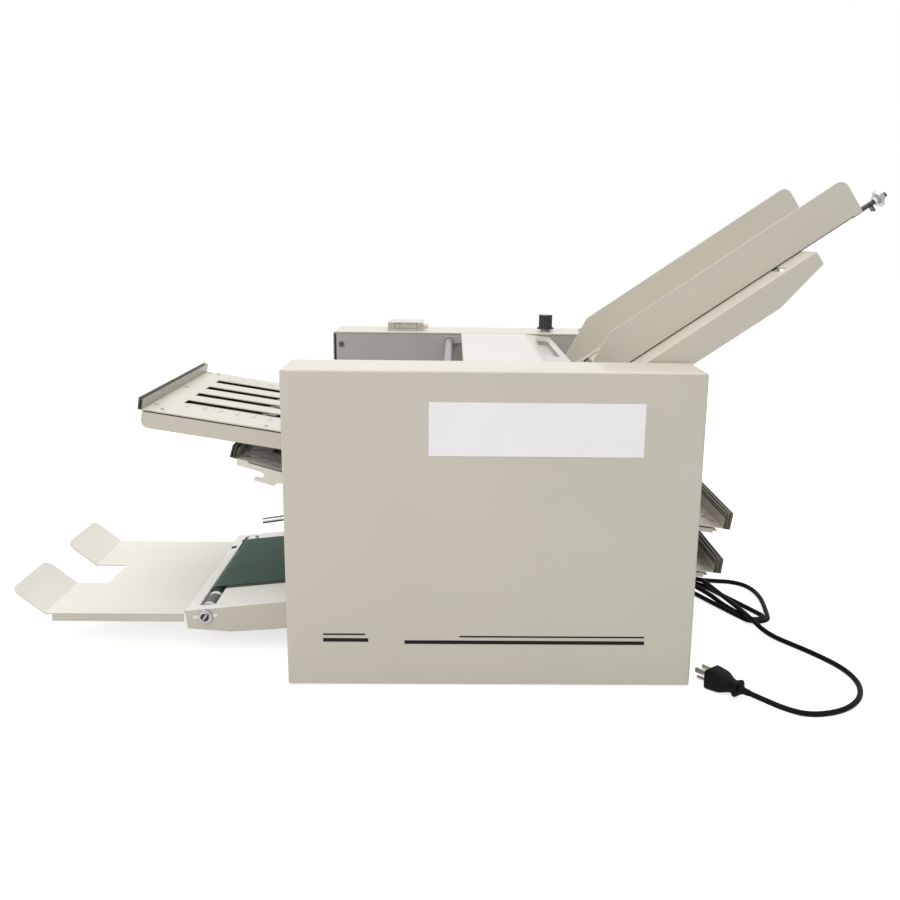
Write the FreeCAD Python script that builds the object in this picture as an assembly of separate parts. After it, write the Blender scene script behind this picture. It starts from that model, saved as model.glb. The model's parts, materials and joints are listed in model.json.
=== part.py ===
# Desk paper folding machine with four fold plates, a sloping feed table and a belt delivery.
# Millimetres. While it is drawn, X = 0 and Y = 0 are the near cover's left front corner and
# Z = 0 is the covers' lower edge. The finished part is moved to stand on the middle of its floor.
import FreeCAD, Part
import math
import os

V = FreeCAD.Vector

# Overall sizes of the casing
body_length = 460.0
cover_height = 362.0
near_depth = 80.0
conveyor_near_gap = 10.5
conveyor_width = 297.5
gap_width = conveyor_near_gap + conveyor_width
far_depth = 88.0
far_inset = 10.0
cover_wall = 1.6
cover_edge_radius = 3.0
frame_thickness = 5.0
frame_setback = 1.0
floor_drop = 4.0
base_lift = 2.0
base_thickness = 3.0

# Clearances and shared small sizes
cut_over = 2.0
running_clearance = 0.05
near_touch = 0.3
sheet = 1.6
bolt_radius = 2.0
bolt_head_radius = 3.8
bolt_head_height = 2.2
screw_inset = 10.5
left_screw_drop = 6.0

# Places worked out from the casing
near_inner = near_depth - frame_setback
near_outer = near_inner - frame_thickness
far_start = near_depth + gap_width
far_inner = far_start + frame_setback
far_outer = far_inner + frame_thickness
body_depth = far_start + far_depth
mid_y = near_depth + gap_width / 2
base_top = base_lift + base_thickness
frame_top = cover_height - cover_wall
frame_left = cover_wall
frame_right = body_length - cover_wall
far_frame_left = far_inset + cover_wall

# Feet
foot_radius = 14.0
foot_inset = 34.0

# Plain label plate and printed bars on the near cover
label_right_gap = 66.1
label_width = 234.3
label_left = body_length - label_right_gap - label_width
label_low = 268.6
label_height = 59.2
label_thickness = 0.5
bar_thickness = 0.25
thin_bar = 1.8
thick_bar = 4.3
short_bar_left = 41.0
short_bar_thin_length = 47.4
short_bar_thick_length = 51.0
short_bar_low = 51.7
long_bar_left = 133.0
long_bar_right_gap = 54.6
long_bar_thick_length = body_length - long_bar_right_gap - long_bar_left
long_bar_low = 49.5
long_bar_thin_left = 195.0
end_step = 0.4
long_bar_thin_length = body_length - long_bar_right_gap - long_bar_thin_left - end_step
bar_gap = 5.6

# Fold rollers stand in a zigzag, odd ones left and even ones right
roller_count = 6
roller_left_x = 179.0
roller_right_x = 201.0
roller_top_z = 260.0
roller_step_z = 34.0
nip_gap = 0.4
journal_radius = 7.0
journal_far_reach = 7.0
roller_end_gap = 3.0
groove_width = 4.0
groove_depth = 0.8
groove_count = 5
bearing_radius = 12.0
bearing_flange_radius = 14.5
feed_bearing_radius = 10.4
drive_bearing_radius = 8.8
bearing_flange = 1.5

# Gears on the near ends of the fold rollers, and the motor that turns them
gear_teeth = 27
gear_width = 10.0
gear_gap = 3.0
pinion_teeth = 16
pressure_tan = 0.38
addendum_share = 0.85
dedendum_share = 1.15
tooth_fill_share = 0.86
pulley_width = 8.0
pulley_radius = 12.0
pulley_gap = 2.0
belt_thickness = 2.0
motor_radius = 32.0
motor_wall = 4.0
armature_radius = 24.0
armature_gap = 0.6
motor_length = 34.0
motor_shaft_radius = 4.0
motor_plate = 3.0
motor_plate_half = 36.0
motor_post_radius = 4.0
motor_post_offset = 28.0

# Feed roller, its pad and the guide down to the first pair of rollers
feed_from_right = 154.4
feed_x = body_length - feed_from_right
feed_z = 321.0
feed_radius = 22.0
feed_core_radius = 14.0
feed_half_width = 36.0
feed_shaft_radius = 6.0
pad_half_width = 21.0
pad_length = 18.0
pad_clearance = 0.5
guide_top_step = 4.6
guide_top_x = feed_x - guide_top_step
guide_top_z = 286.0
guide_low_x = 216.0
guide_low_z = 248.0

# Tie rods between the side frames
tie_radius = 6.0
hinge_x = 178.5
hinge_z = 350.0
tie_left_x = 40.0
tie_left_z = 300.0
tie_right_inset = 30.0
tie_right_z = 250.0
tie_low_z = 28.0
tie_low_insets = (160.0, 20.0)
lower_ties = [(tie_left_x, tie_left_z), (body_length - tie_right_inset, tie_right_z)]
lower_ties += [(body_length - inset, tie_low_z) for inset in tie_low_insets]
tie_screw_radius = 3.0
tie_head_radius = 5.5
tie_head_height = 3.5

# Hood over the feed roller, hinged on the upper tie rod
hood_left = 197.0
hood_bend_step = 16.6
hood_tip_step = 20.4
hood_bend = feed_x - hood_bend_step
hood_tip_x = feed_x + hood_tip_step
hood_tip_z = 357.0
hood_side_gap = 3.0
hood_top = cover_height - near_touch
hood_flange = 14.0
lug_width = 9.0
lug_wall = 2.0
recess_length = 170.0
recess_width = 18.0
recess_depth = 6.0

# Feed table, on a slope. u runs up the slope, w stands square to it
table_step = 31.4
table_x = feed_x + table_step
table_z = 312.2
table_angle = 34.43
table_low_u = -35.0
table_high_u = 313.0
side_gap_near = 4.0
side_gap_far = 2.0
table_near = near_depth + side_gap_near
table_width = gap_width - side_gap_near - side_gap_far
table_lip = 16.0
flange_depth = 32.0
flange_knee_u = 247.0
flange_low_u = 22.0
slot_low_u = 40.0
slot_high_u = 275.0
slot_width = 8.0
bracket_radius = 8.0
bracket_low_u = 45.0
bracket_high_u = 90.0
bracket_w = -18.0

# Paper guides on the table
guide_near_offset = 101.0
guide_far_offset = 95.0
guide_near_y = mid_y - guide_near_offset
guide_far_y = mid_y + guide_far_offset
guide_length = 395.0
guide_height = 45.0
guide_low_u = -5.0
guide_nose = [(9.5, 13.5), (36.5, 26.0), (72.5, guide_height)]
guide_corner = 11.0
guide_out_travel = 38.0
guide_in_travel = 75.0
foot_flange = 18.0
foot_flange_start = 24.0
foot_flange_end = 381.0
peg_radius = 3.0
peg_head_radius = 7.0
peg_head_height = 5.0

# Adjuster at the upper end of the near guide
adjust_rod_radius = 3.0
adjust_rod_start = 383.0
adjust_rod_end = 428.0
adjust_w = 1.5
nut_start = 412.0
nut_hex_length = 5.0
nut_hex_radius = 6.0
nut_flange_radius = 10.0
nut_flange = 3.0
nut_dome_radius = 8.5
nut_dome_length = 5.0
tab_u = 406.0
tab_thickness = 2.0
tab_height = 6.0
tab_half_width = 5.0

# Fold plates: two sheets with a gap for the paper, side rails, an end bar and a sliding stop
plate_near = table_near
plate_width = table_width
plate_sheet = 1.5
paper_gap = 3.2
plate_margin = 6.0
slot_offsets = [-71.0, -18.0, 35.0, 89.0]
slot_y = [mid_y + offset for offset in slot_offsets]
plate_slot_width = 23.0
stop_length = 18.0
stop_thickness = 2.4
finger_height = 4.5
finger_width = 12.0
finger_length = 10.0
bar_wall = 1.6
rail_corner = 9.0
plate_1_x = -174.5
plate_1_z = 302.0
plate_1_length = 333.0
plate_1_rail = 22.0
plate_1_slot_start = 30.0
plate_1_slot_end_gap = 33.0
plate_1_stop = 124.0
plate_1_bar_width = 5.0
plate_1_bar_low = -1.5
plate_1_bar_high = 13.0
plate_2_reach = 51.0
plate_2_z = 163.3
plate_2_inner = 223.0
plate_2_slot_start = 28.0
plate_2_slot_end_gap = 38.0
plate_2_stop = 120.0
plate_2_bar_width = 9.0
plate_2_bar_low = -1.5
plate_2_bar_high = 19.5
plate_3_x = -67.5
plate_3_z = 243.9
plate_3_length = 228.0
plate_3_slot_start = 30.0
plate_3_slot_end_gap = 28.0
plate_3_stop = 110.0
plate_3_bar_width = 8.4
plate_3_bar_low = -1.0
plate_3_bar_high = 14.0
plate_4_reach = 43.0
plate_4_z = 107.6
plate_4_inner = 223.0
plate_4_slot_start = 28.0
plate_4_slot_end_gap = 35.0
plate_4_stop = 118.0
plate_4_bar_width = 10.0
plate_4_bar_low = -1.5
plate_4_bar_high = 17.0
lower_rail = 8.5
rail_setback = 11.0

# Conveyor: side plates, bed, belt and two rollers, sloping down to the tray
conveyor_left = -139.5
conveyor_left_z = 50.2
conveyor_angle = 6.0
conveyor_near = near_depth + conveyor_near_gap
bed_start = 34.5
strip_width = 14.5
far_strip_width = 10.0
bed_end_gap = 4.0
roller_inset = 24.0
end_roller_radius = 10.0
belt_rise = 0.8
conveyor_belt_thickness = 1.2
belt_near_margin = 71.5
belt_far_margin = 32.0
belt_near = conveyor_near + belt_near_margin
belt_width = conveyor_width - belt_near_margin - belt_far_margin
drive_u = 268.0
end_shaft_radius = 4.0
drive_journal_radius = 5.0
support_rod_radius = 5.0
support_us = [160.0, 236.0]
tension_washer_radius = 8.2
tension_slot_height = 4.4
tension_slot_start = 8.0
tension_slot_end = 38.0

# Receiving tray hooked on the conveyor's end
tray_length = 168.0
tray_gap = 1.6
tray_z = 47.0
tray_side_reach = 1.0
tray_near = conveyor_near - tray_side_reach
tray_width = 278.5
tray_flange = 10.5
notch_depth = 41.0
notch_start = 104.5
notch_width = 68.0
tab_run = 38.0
tab_rise = 31.0
tab_corner = 12.0
tongue_length = 14.0
tongue_width = 30.0
tongue_offset = 40.0

# Press arm over the belt
press_pivot_x = 80.0
press_pivot_z = 143.0
press_tip_x = -71.0
press_tip_z = 119.5
press_rod_radius = 4.0
press_offset = 6.0
press_y = mid_y + press_offset
press_shaft_radius = 5.0
press_hub_radius = 9.0
press_hub_width = 16.0
press_wheel_x = 22.0
press_wheel_radius = 17.0
press_wheel_width = 12.0
press_axle_radius = 3.0
press_link_width = 10.0
press_link_thickness = 3.0

# Things on the far cover
counter_x = 89.0
digit_pitch = 6.2
digit_gap = 0.8
digit_width = digit_pitch - digit_gap
digit_count = 5
window_margin = 1.5
window_length = digit_pitch * digit_count + window_margin * 2
counter_side = 9.0
counter_length = window_length + counter_side * 2
counter_inset = 17.0
counter_y = far_start + counter_inset
counter_width = 57.0
counter_height = 12.5
counter_base = 2.5
window_height = 8.8
window_pane = 1.2
digit_radius = 4.0
reset_radius = 3.6
reset_length = 7.0
reset_shaft_radius = 1.2
knob_from_right = 137.0
knob_x = body_length - knob_from_right
knob_inset = 36.0
knob_y = far_start + knob_inset
knob_nut_radius = 7.0
knob_nut_height = 3.0
knob_skirt_radius = 12.5
knob_skirt_height = 2.5
knob_radius = 10.0
knob_height = 21.0
knob_gap = 0.4
knob_flutes = 18
knob_flute_radius = 1.1
pot_radius = 12.0
pot_height = 11.0
pot_shaft_radius = 3.0
switch_from_right = 74.0
switch_x = body_length - switch_from_right
switch_inset = 52.0
switch_y = far_start + switch_inset
bezel_length = 21.0
bezel_width = 15.0
bezel_height = 2.0
rocker_length = 16.0
rocker_width = 10.0
rocker_height = 5.0
rocker_pin_radius = 0.8
rocker_side_gap = 0.5
switch_body_depth = 18.0

# Electric parts in the far box
board_from_right = 210.0
board_x = body_length - board_from_right
board_z = 200.0
board_length = 110.0
board_height = 80.0
board_thickness = 1.6
board_standoff = 8.0
board_post_radius = 3.0
chip_count = 3
chip_length = 20.0
chip_pitch = 28.0
chip_low = 24.0
transformer_from_right = 160.0
transformer_x = body_length - transformer_from_right
transformer_length = 62.0
transformer_depth = 50.0
transformer_height = 52.0
core_depth = 30.0
coil_inset = 11.0

# Cord, strain relief and plug
cord_diameter = 6.4
layer_gap = 0.64
gland_inset = 42.0
gland_y = far_start + gland_inset
gland_z = 25.0
gland_length = 26.0
gland_start_radius = 8.0
gland_end_radius = 5.0
gland_flange_radius = 11.0
gland_flange = 3.0
plug_relief = 20.0
plug_neck_radius = 5.5
plug_body = 32.0
plug_width = 27.0
plug_height = 24.0
plug_round = 4.0
blade_pitch = 12.7
blade_thickness = 1.5
blade_width = 6.3
blade_length = 17.0
blade_w = 4.0
pin_radius = 2.4
pin_drop = 11.5


def box(x0, x1, y0, y1, z0, z1):
    return Part.makeBox(x1 - x0, y1 - y0, z1 - z0, V(x0, y0, z0))


def rod(radius, start, direction, length):
    return Part.makeCylinder(radius, length, start, direction)


def rod_y(radius, x, z, y0, y1):
    return rod(radius, V(x, y0, z), V(0, 1, 0), y1 - y0)


def ring_y(outer, inner, x, z, y0, y1):
    return rod_y(outer, x, z, y0, y1).cut(rod_y(inner, x, z, y0 - cut_over, y1 + cut_over))


def slab_y(points, y0, y1):
    """Extrude an outline of (x, z) points along Y."""
    corners = [V(x, y0, z) for x, z in points]
    return Part.Face(Part.makePolygon(corners + corners[:1])).extrude(V(0, y1 - y0, 0))


def fuse(shapes):
    return shapes[0].multiFuse(shapes[1:]).removeSplitter() if len(shapes) > 1 else shapes[0]


def cut_all(shape, tools):
    return shape.cut(Part.makeCompound(tools)) if tools else shape


def group(shapes):
    return Part.makeCompound(shapes)


def round_edges(shape, radius, wanted):
    """Round the straight edges whose middle point passes the test."""
    edges = [e for e in shape.Edges if len(e.Vertexes) == 2 and wanted(e)]
    return shape.makeFillet(radius, edges)


def slope(shape, x, z, angle):
    """Move a shape drawn on (u, y, w) so that u rises at the angle from (x, z)."""
    placed = shape.copy()
    placed.rotate(V(0, 0, 0), V(0, 1, 0), -angle)
    placed.translate(V(x, 0, z))
    return placed


def on_slope(u, w, x, z, angle):
    """The (x, z) of a point of a sloping plane."""
    turn = math.radians(angle)
    return (x + u * math.cos(turn) - w * math.sin(turn), z + u * math.sin(turn) + w * math.cos(turn))


def screw(point, direction):
    """Round-headed screw whose head sits on the surface at the point."""
    head = rod(bolt_head_radius, point, direction, bolt_head_height)
    shank = rod(bolt_radius, point, direction * -1, frame_thickness)
    slot = Part.makeBox(bolt_head_radius * 2, bolt_radius / 2, bolt_head_height / 2)
    slot.translate(V(-bolt_head_radius, -bolt_radius / 4, bolt_head_height / 2))
    on_head = FreeCAD.Placement(point, FreeCAD.Rotation(V(0, 0, 1), direction))
    slot.Placement = on_head.multiply(slot.Placement)
    return head.fuse(shank).cut(slot).removeSplitter()


def gear(x, z, y0, y1, teeth, pitch, phase, bore):
    """Spur gear with straight flanks and backlash; phase points one tooth, in degrees."""
    module = pitch * 2 / teeth
    tip = pitch + module * addendum_share
    root = pitch - module * dedendum_share
    half = math.pi * module / 4 * tooth_fill_share
    half_tip = half - module * addendum_share * pressure_tan
    half_root = half + module * dedendum_share * pressure_tan
    points = []
    for tooth in range(teeth):
        middle = math.radians(phase) + 2 * math.pi * tooth / teeth
        for radius, offset in ((root, -half_root), (tip, -half_tip), (tip, half_tip), (root, half_root)):
            angle = middle + offset / radius
            points.append((x + radius * math.cos(angle), z + radius * math.sin(angle)))
    blank = slab_y(points, y0, y1)
    return blank.cut(rod_y(bore, x, z, y0 - cut_over, y1 + cut_over)) if bore else blank


def mesh_phase(a, b, teeth_a, teeth_b, phase_a):
    """Tooth phase of gear b, at point b, that meshes with gear a at point a."""
    line = math.degrees(math.atan2(b[1] - a[1], b[0] - a[0]))
    return line + 180 - (phase_a - line) * teeth_a / teeth_b - 180 / teeth_b


def belt_loop(a, b, radius_a, radius_b, thickness, y0, y1):
    """Flat belt round two pulleys at (x, z) points a and b."""
    def loop(extra):
        ra = radius_a + extra
        rb = radius_b + extra
        length = math.hypot(b[0] - a[0], b[1] - a[1])
        line = math.atan2(b[1] - a[1], b[0] - a[0])
        lean = math.acos((ra - rb) / length)
        corners = []
        for centre, radius, side in ((a, ra, 1), (b, rb, 1), (b, rb, -1), (a, ra, -1)):
            angle = line + side * lean
            corners.append((centre[0] + radius * math.cos(angle), centre[1] + radius * math.sin(angle)))
        wedge = slab_y(corners, y0, y1)
        return fuse([wedge, rod_y(ra, a[0], a[1], y0, y1), rod_y(rb, b[0], b[1], y0, y1)])
    return loop(thickness).cut(loop(0))


# Places worked out from the named values
rollers = [(roller_left_x if n % 2 == 0 else roller_right_x, roller_top_z - n * roller_step_z)
           for n in range(roller_count)]
roller_distance = math.hypot(roller_right_x - roller_left_x, roller_step_z)
roller_radius = (roller_distance - nip_gap) / 2
gear_pitch = roller_distance / 2
gear_y1 = near_outer - gear_gap
gear_y0 = gear_y1 - gear_width
pulley_y1 = gear_y0 - pulley_gap
pulley_y0 = pulley_y1 - pulley_width
pinion_pitch = gear_pitch * pinion_teeth / gear_teeth
motor_x = rollers[-1][0] + gear_pitch + pinion_pitch
motor_z = rollers[-1][1]
motor_front = pulley_y0 - pulley_gap
motor_face = motor_front - motor_plate
motor_back = motor_face - motor_length
conveyor_x = conveyor_left
conveyor_z = conveyor_left_z
axis_w = belt_rise - end_roller_radius
idler_at = on_slope(roller_inset, axis_w, conveyor_x, conveyor_z, conveyor_angle)
drive_at = on_slope(drive_u, axis_w, conveyor_x, conveyor_z, conveyor_angle)
supports_at = [on_slope(u, axis_w, conveyor_x, conveyor_z, conveyor_angle) for u in support_us]
plate_2_x = body_length + plate_2_reach
plate_2_length = plate_2_x - plate_2_inner
plate_4_x = body_length + plate_4_reach
plate_4_length = plate_4_x - plate_4_inner
plates = {
    1: dict(x=plate_1_x, z=plate_1_z, angle=-8.8, length=plate_1_length, rail=plate_1_rail, side=-1,
            slots=(plate_1_slot_start, plate_1_length - plate_1_slot_end_gap), stop=plate_1_stop,
            bar=(plate_1_bar_width, plate_1_bar_low, plate_1_bar_high, 2)),
    2: dict(x=plate_2_x, z=plate_2_z, angle=171.9, length=plate_2_length, rail=lower_rail, side=1,
            slots=(plate_2_slot_start, plate_2_length - plate_2_slot_end_gap), stop=plate_2_stop,
            bar=(plate_2_bar_width, plate_2_bar_low, plate_2_bar_high, 3)),
    3: dict(x=plate_3_x, z=plate_3_z, angle=-16.2, length=plate_3_length, rail=lower_rail, side=-1,
            slots=(plate_3_slot_start, plate_3_length - plate_3_slot_end_gap), stop=plate_3_stop,
            bar=(plate_3_bar_width, plate_3_bar_low, plate_3_bar_high, 3)),
    4: dict(x=plate_4_x, z=plate_4_z, angle=173.9, length=plate_4_length, rail=lower_rail, side=1,
            slots=(plate_4_slot_start, plate_4_length - plate_4_slot_end_gap), stop=plate_4_stop,
            bar=(plate_4_bar_width, plate_4_bar_low, plate_4_bar_high, 3)),
}
bearing_places = [(x, z, journal_radius, bearing_radius) for x, z in rollers]
bearing_places.append((feed_x, feed_z, feed_shaft_radius, feed_bearing_radius))
bearing_places.append((drive_at[0], drive_at[1], drive_journal_radius, drive_bearing_radius))
tie_places = [(hinge_x, hinge_z)] + lower_ties + supports_at + [(press_pivot_x, press_pivot_z)]


def cover_shell(left, y_front, y_open, front_at_low_y):
    """Folded sheet cover: one long wall, a top and two ends, open below and towards the middle."""
    y0, y1 = min(y_front, y_open), max(y_front, y_open)
    outer = box(left, body_length, y0, y1, 0, cover_height)

    def is_outer_edge(edge):
        middle = edge.CenterOfMass
        on_front = abs(middle.y - y_front) < cover_wall / 2
        on_top = abs(middle.z - cover_height) < cover_wall / 2
        on_end = abs(middle.x - left) < cover_wall / 2 or abs(middle.x - body_length) < cover_wall / 2
        return (on_front and (on_top or on_end)) or (on_top and on_end)

    outer = round_edges(outer, cover_edge_radius, is_outer_edge)
    front_gap0 = cover_wall if front_at_low_y else -cut_over
    front_gap1 = -cut_over if front_at_low_y else cover_wall
    inner = box(left + cover_wall, body_length - cover_wall, y0 + front_gap0, y1 - front_gap1,
                -cut_over, frame_top)
    return outer.cut(inner)


def near_side_cover():
    return cover_shell(0.0, 0.0, near_depth, True)


def far_side_cover():
    shell = cover_shell(far_inset, body_depth, far_start, False)
    holes = [rod(pot_shaft_radius + knob_gap, V(knob_x, knob_y, frame_top - cut_over), V(0, 0, 1),
                 cover_wall + 2 * cut_over),
             box(switch_x - bezel_length / 2 + bezel_height, switch_x + bezel_length / 2 - bezel_height,
                 switch_y - bezel_width / 2 + bezel_height, switch_y + bezel_width / 2 - bezel_height,
                 frame_top - cut_over, cover_height + cut_over),
             rod(gland_start_radius - bolt_radius, V(body_length - cover_wall - cut_over, gland_y, gland_z),
                 V(1, 0, 0), cover_wall + 2 * cut_over)]
    return cut_all(shell, holes)


def frame_plate(left, y0, y1):
    plate = box(left, frame_right, y0, y1, base_top, frame_top)
    holes = [rod_y(outer, x, z, y0 - cut_over, y1 + cut_over) for x, z, inner, outer in bearing_places]
    holes += [rod_y(tie_screw_radius, x, z, y0 - cut_over, y1 + cut_over) for x, z in tie_places]
    holes += [rod_y(bolt_radius, x, z, y0 - cut_over, y1 + cut_over) for x, z in frame_screw_places(left)]
    return cut_all(plate, holes)


def frame_screw_places(left):
    inset = screw_inset
    low, high = base_top + inset, frame_top - inset
    return [(left + inset, high - left_screw_drop), (frame_right - inset, high),
            (left + inset, low), (frame_right - inset, low)]


def near_side_frame():
    return frame_plate(frame_left, near_outer, near_inner)


def far_side_frame():
    return frame_plate(far_frame_left, far_inner, far_outer)


def base_plate():
    return box(far_frame_left, frame_right, cover_wall, body_depth - cover_wall, base_lift, base_top)


def rubber_feet():
    feet = []
    for x in (far_frame_left + foot_inset, frame_right - foot_inset):
        for y in (cover_wall + foot_inset, body_depth - cover_wall - foot_inset):
            feet.append(rod(foot_radius, V(x, y, -floor_drop), V(0, 0, 1), floor_drop + base_lift))
    return group(feet)


def cover_screws():
    screws = []
    for x, z in frame_screw_places(frame_left):
        screws.append(screw(V(x, near_inner, z), V(0, 1, 0)))
    for x, z in frame_screw_places(far_frame_left):
        screws.append(screw(V(x, far_inner, z), V(0, -1, 0)))
    return screws


def label_plate():
    return box(label_left, label_left + label_width, -label_thickness, 0,
               label_low, label_low + label_height)


def printed_bars():
    low_short = short_bar_low + thick_bar + bar_gap - thin_bar
    low_long = long_bar_low + thick_bar + bar_gap - thin_bar
    bars = [(short_bar_left, short_bar_thick_length, short_bar_low, thick_bar),
            (short_bar_left, short_bar_thin_length, low_short, thin_bar),
            (long_bar_left, long_bar_thick_length, long_bar_low, thick_bar),
            (long_bar_thin_left, long_bar_thin_length, low_long, thin_bar)]
    return group([box(x, x + length, -bar_thickness, 0, z, z + height) for x, length, z, height in bars])


def tie_rod_at(x, z, radius):
    return rod_y(radius, x, z, near_inner, far_inner)


def tie_rods():
    """The hood's hinge rod, the plain rods, the conveyor's carriers and the press arm's shaft."""
    rods = [tie_rod_at(x, z, tie_radius) for x, z in [(hinge_x, hinge_z)] + lower_ties]
    rods += [tie_rod_at(x, z, support_rod_radius) for x, z in supports_at]
    rods.append(tie_rod_at(press_pivot_x, press_pivot_z, press_shaft_radius))
    return rods


def tie_screws():
    screws = []
    for x, z in tie_places:
        for face, away in ((near_outer, -1), (far_outer, 1)):
            head = rod(tie_head_radius, V(x, face, z), V(0, away, 0), tie_head_height)
            socket = rod(tie_screw_radius, V(x, face + away * tie_head_height, z), V(0, -away, 0),
                         tie_head_height / 2)
            shank = rod(tie_screw_radius, V(x, face, z), V(0, -away, 0), frame_thickness)
            screws.append(head.cut(socket).fuse(shank))
    return screws


def bearings():
    rings = []
    for x, z, inner, outer in bearing_places:
        bore = inner + running_clearance
        lip = outer + bearing_flange_radius - bearing_radius
        for y0, y1, flange_y in ((near_outer, near_inner, near_outer - bearing_flange),
                                 (far_inner, far_outer, far_outer)):
            sleeve = rod_y(outer, x, z, y0, y1).fuse(rod_y(lip, x, z, flange_y, flange_y + bearing_flange))
            rings.append(sleeve.cut(rod_y(bore, x, z, y0 - cut_over * 2, y1 + cut_over * 2)))
    return group(rings)


def fold_roller(number):
    """Steel roller with a few turned grooves; journals run through both frames."""
    x, z = rollers[number - 1]
    y0 = near_inner + roller_end_gap
    y1 = far_inner - roller_end_gap
    parts = [rod_y(roller_radius, x, z, y0, y1),
             rod_y(journal_radius, x, z, shaft_near_end(number), far_outer + journal_far_reach)]
    solid = fuse(parts)
    pitch = (y1 - y0) / (groove_count + 1)
    cuts = []
    for n in range(groove_count):
        y = y0 + pitch * (n + 1) - groove_width / 2
        cuts.append(ring_y(roller_radius + cut_over, roller_radius - groove_depth, x, z, y, y + groove_width))
    return cut_all(solid, cuts)


def shaft_near_end(number):
    return pulley_y0 if number in (1, 5) else gear_y0


def gear_phase(number):
    phase = 0.0
    for n in range(1, number):
        phase = mesh_phase(rollers[n - 1], rollers[n], gear_teeth, gear_teeth, phase)
    return phase


def roller_gear(number):
    x, z = rollers[number - 1]
    return gear(x, z, gear_y0, gear_y1, gear_teeth, gear_pitch, gear_phase(number), journal_radius)


def motor_pinion():
    phase = mesh_phase(rollers[-1], (motor_x, motor_z), gear_teeth, pinion_teeth,
                       gear_phase(roller_count))
    wheel = gear(motor_x, motor_z, gear_y0, gear_y1, pinion_teeth, pinion_pitch, phase, 0)
    shaft = rod_y(motor_shaft_radius, motor_x, motor_z, motor_back + near_touch, gear_y0)
    armature = rod_y(armature_radius, motor_x, motor_z, motor_back + motor_wall + armature_gap,
                     motor_face - motor_wall - armature_gap)
    return fuse([wheel, shaft, armature])


def motor():
    """Motor can, hollow round the armature and bored for its shaft."""
    can = rod_y(motor_radius, motor_x, motor_z, motor_back, motor_face)
    cap = rod_y(motor_radius - frame_thickness, motor_x, motor_z, motor_back - cut_over, motor_back)
    hollow = rod_y(armature_radius + armature_gap, motor_x, motor_z, motor_back + motor_wall,
                   motor_face - motor_wall)
    bore = rod_y(motor_shaft_radius + running_clearance, motor_x, motor_z, motor_back,
                 motor_face + cut_over)
    return fuse([can, cap]).cut(hollow).cut(bore)


def motor_bracket():
    plate = box(motor_x - motor_plate_half, motor_x + motor_plate_half, motor_face, motor_front,
                motor_z - motor_plate_half, motor_z + motor_plate_half)
    hole = rod_y(motor_shaft_radius * 2, motor_x, motor_z, motor_face - cut_over, motor_front + cut_over)
    posts = []
    for dx in (-motor_post_offset, motor_post_offset):
        for dz in (-motor_post_offset, motor_post_offset):
            posts.append(rod_y(motor_post_radius, motor_x + dx, motor_z + dz, motor_front, near_outer))
    return fuse([plate.cut(hole)] + posts)


def timing_belts():
    radius = pulley_radius + near_touch
    feed_belt = belt_loop(rollers[0], (feed_x, feed_z), radius, radius, belt_thickness, pulley_y0, pulley_y1)
    drive_belt = belt_loop(rollers[4], drive_at, radius, radius, belt_thickness, pulley_y0, pulley_y1)
    return group([feed_belt, drive_belt])


def pulley_at(x, z, bore):
    return ring_y(pulley_radius, bore, x, z, pulley_y0, pulley_y1)


def feed_roller():
    core = rod_y(feed_core_radius, feed_x, feed_z, mid_y - feed_half_width, mid_y + feed_half_width)
    shaft = rod_y(feed_shaft_radius, feed_x, feed_z, pulley_y0, far_outer + journal_far_reach)
    pulley = rod_y(pulley_radius, feed_x, feed_z, pulley_y0, pulley_y1)
    return fuse([core, shaft, pulley])


def feed_tyre():
    return ring_y(feed_radius, feed_core_radius, feed_x, feed_z, mid_y - feed_half_width,
                  mid_y + feed_half_width)


def drive_pulleys():
    """Toothed belt wheels on the first and fifth fold rollers' shafts."""
    return {1: pulley_at(*rollers[0], journal_radius), 5: pulley_at(*rollers[4], journal_radius)}


def infeed_guide():
    """Bent sheet that leads the page from the feed roller to the first pair of rollers."""
    drop = sheet
    outline = [(guide_low_x, guide_low_z), (guide_top_x, guide_top_z),
               (guide_top_x, guide_top_z - drop), (guide_low_x, guide_low_z - drop)]
    return slab_y(outline, near_inner, far_inner)


def on_table(shape):
    return slope(shape, table_x, table_z, table_angle)


def table_slots():
    """Slots across the table in which the guides' pegs slide."""
    slots = []
    spare = peg_radius + near_touch
    for u in (slot_low_u, slot_high_u):
        for guide_y, inward in ((guide_near_y, 1), (guide_far_y, -1)):
            peg_y = guide_y + inward * peg_head_radius
            y0, y1 = sorted((peg_y - inward * guide_out_travel, peg_y + inward * guide_in_travel))
            slots.append(box(u - slot_width / 2, u + slot_width / 2, y0 - spare, y1 + spare,
                             -sheet - cut_over, cut_over))
    return slots


def feed_table():
    table_far = table_near + table_width
    top = box(table_low_u, table_high_u, table_near, table_far, -sheet, 0)
    lip = box(table_high_u - sheet, table_high_u, table_near, table_far, -table_lip, 0)
    side = [(table_low_u, 0), (table_high_u, 0), (table_high_u, -table_lip), (flange_knee_u, -flange_depth),
            (flange_low_u, -flange_depth), (table_low_u, -flange_depth / 4)]
    sides = [slab_y(side, table_near, table_near + sheet), slab_y(side, table_far - sheet, table_far)]
    solid = cut_all(fuse([top, lip] + sides), table_slots())
    return on_table(solid)


def table_brackets():
    """Spacers that carry the table's side flanges on the side frames."""
    spacers = []
    for u in (bracket_low_u, bracket_high_u):
        x, z = on_slope(u, bracket_w, table_x, table_z, table_angle)
        spacers.append(rod_y(bracket_radius, x, z, near_inner, table_near))
        spacers.append(rod_y(bracket_radius, x, z, table_near + table_width, far_inner))
    return spacers


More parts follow.
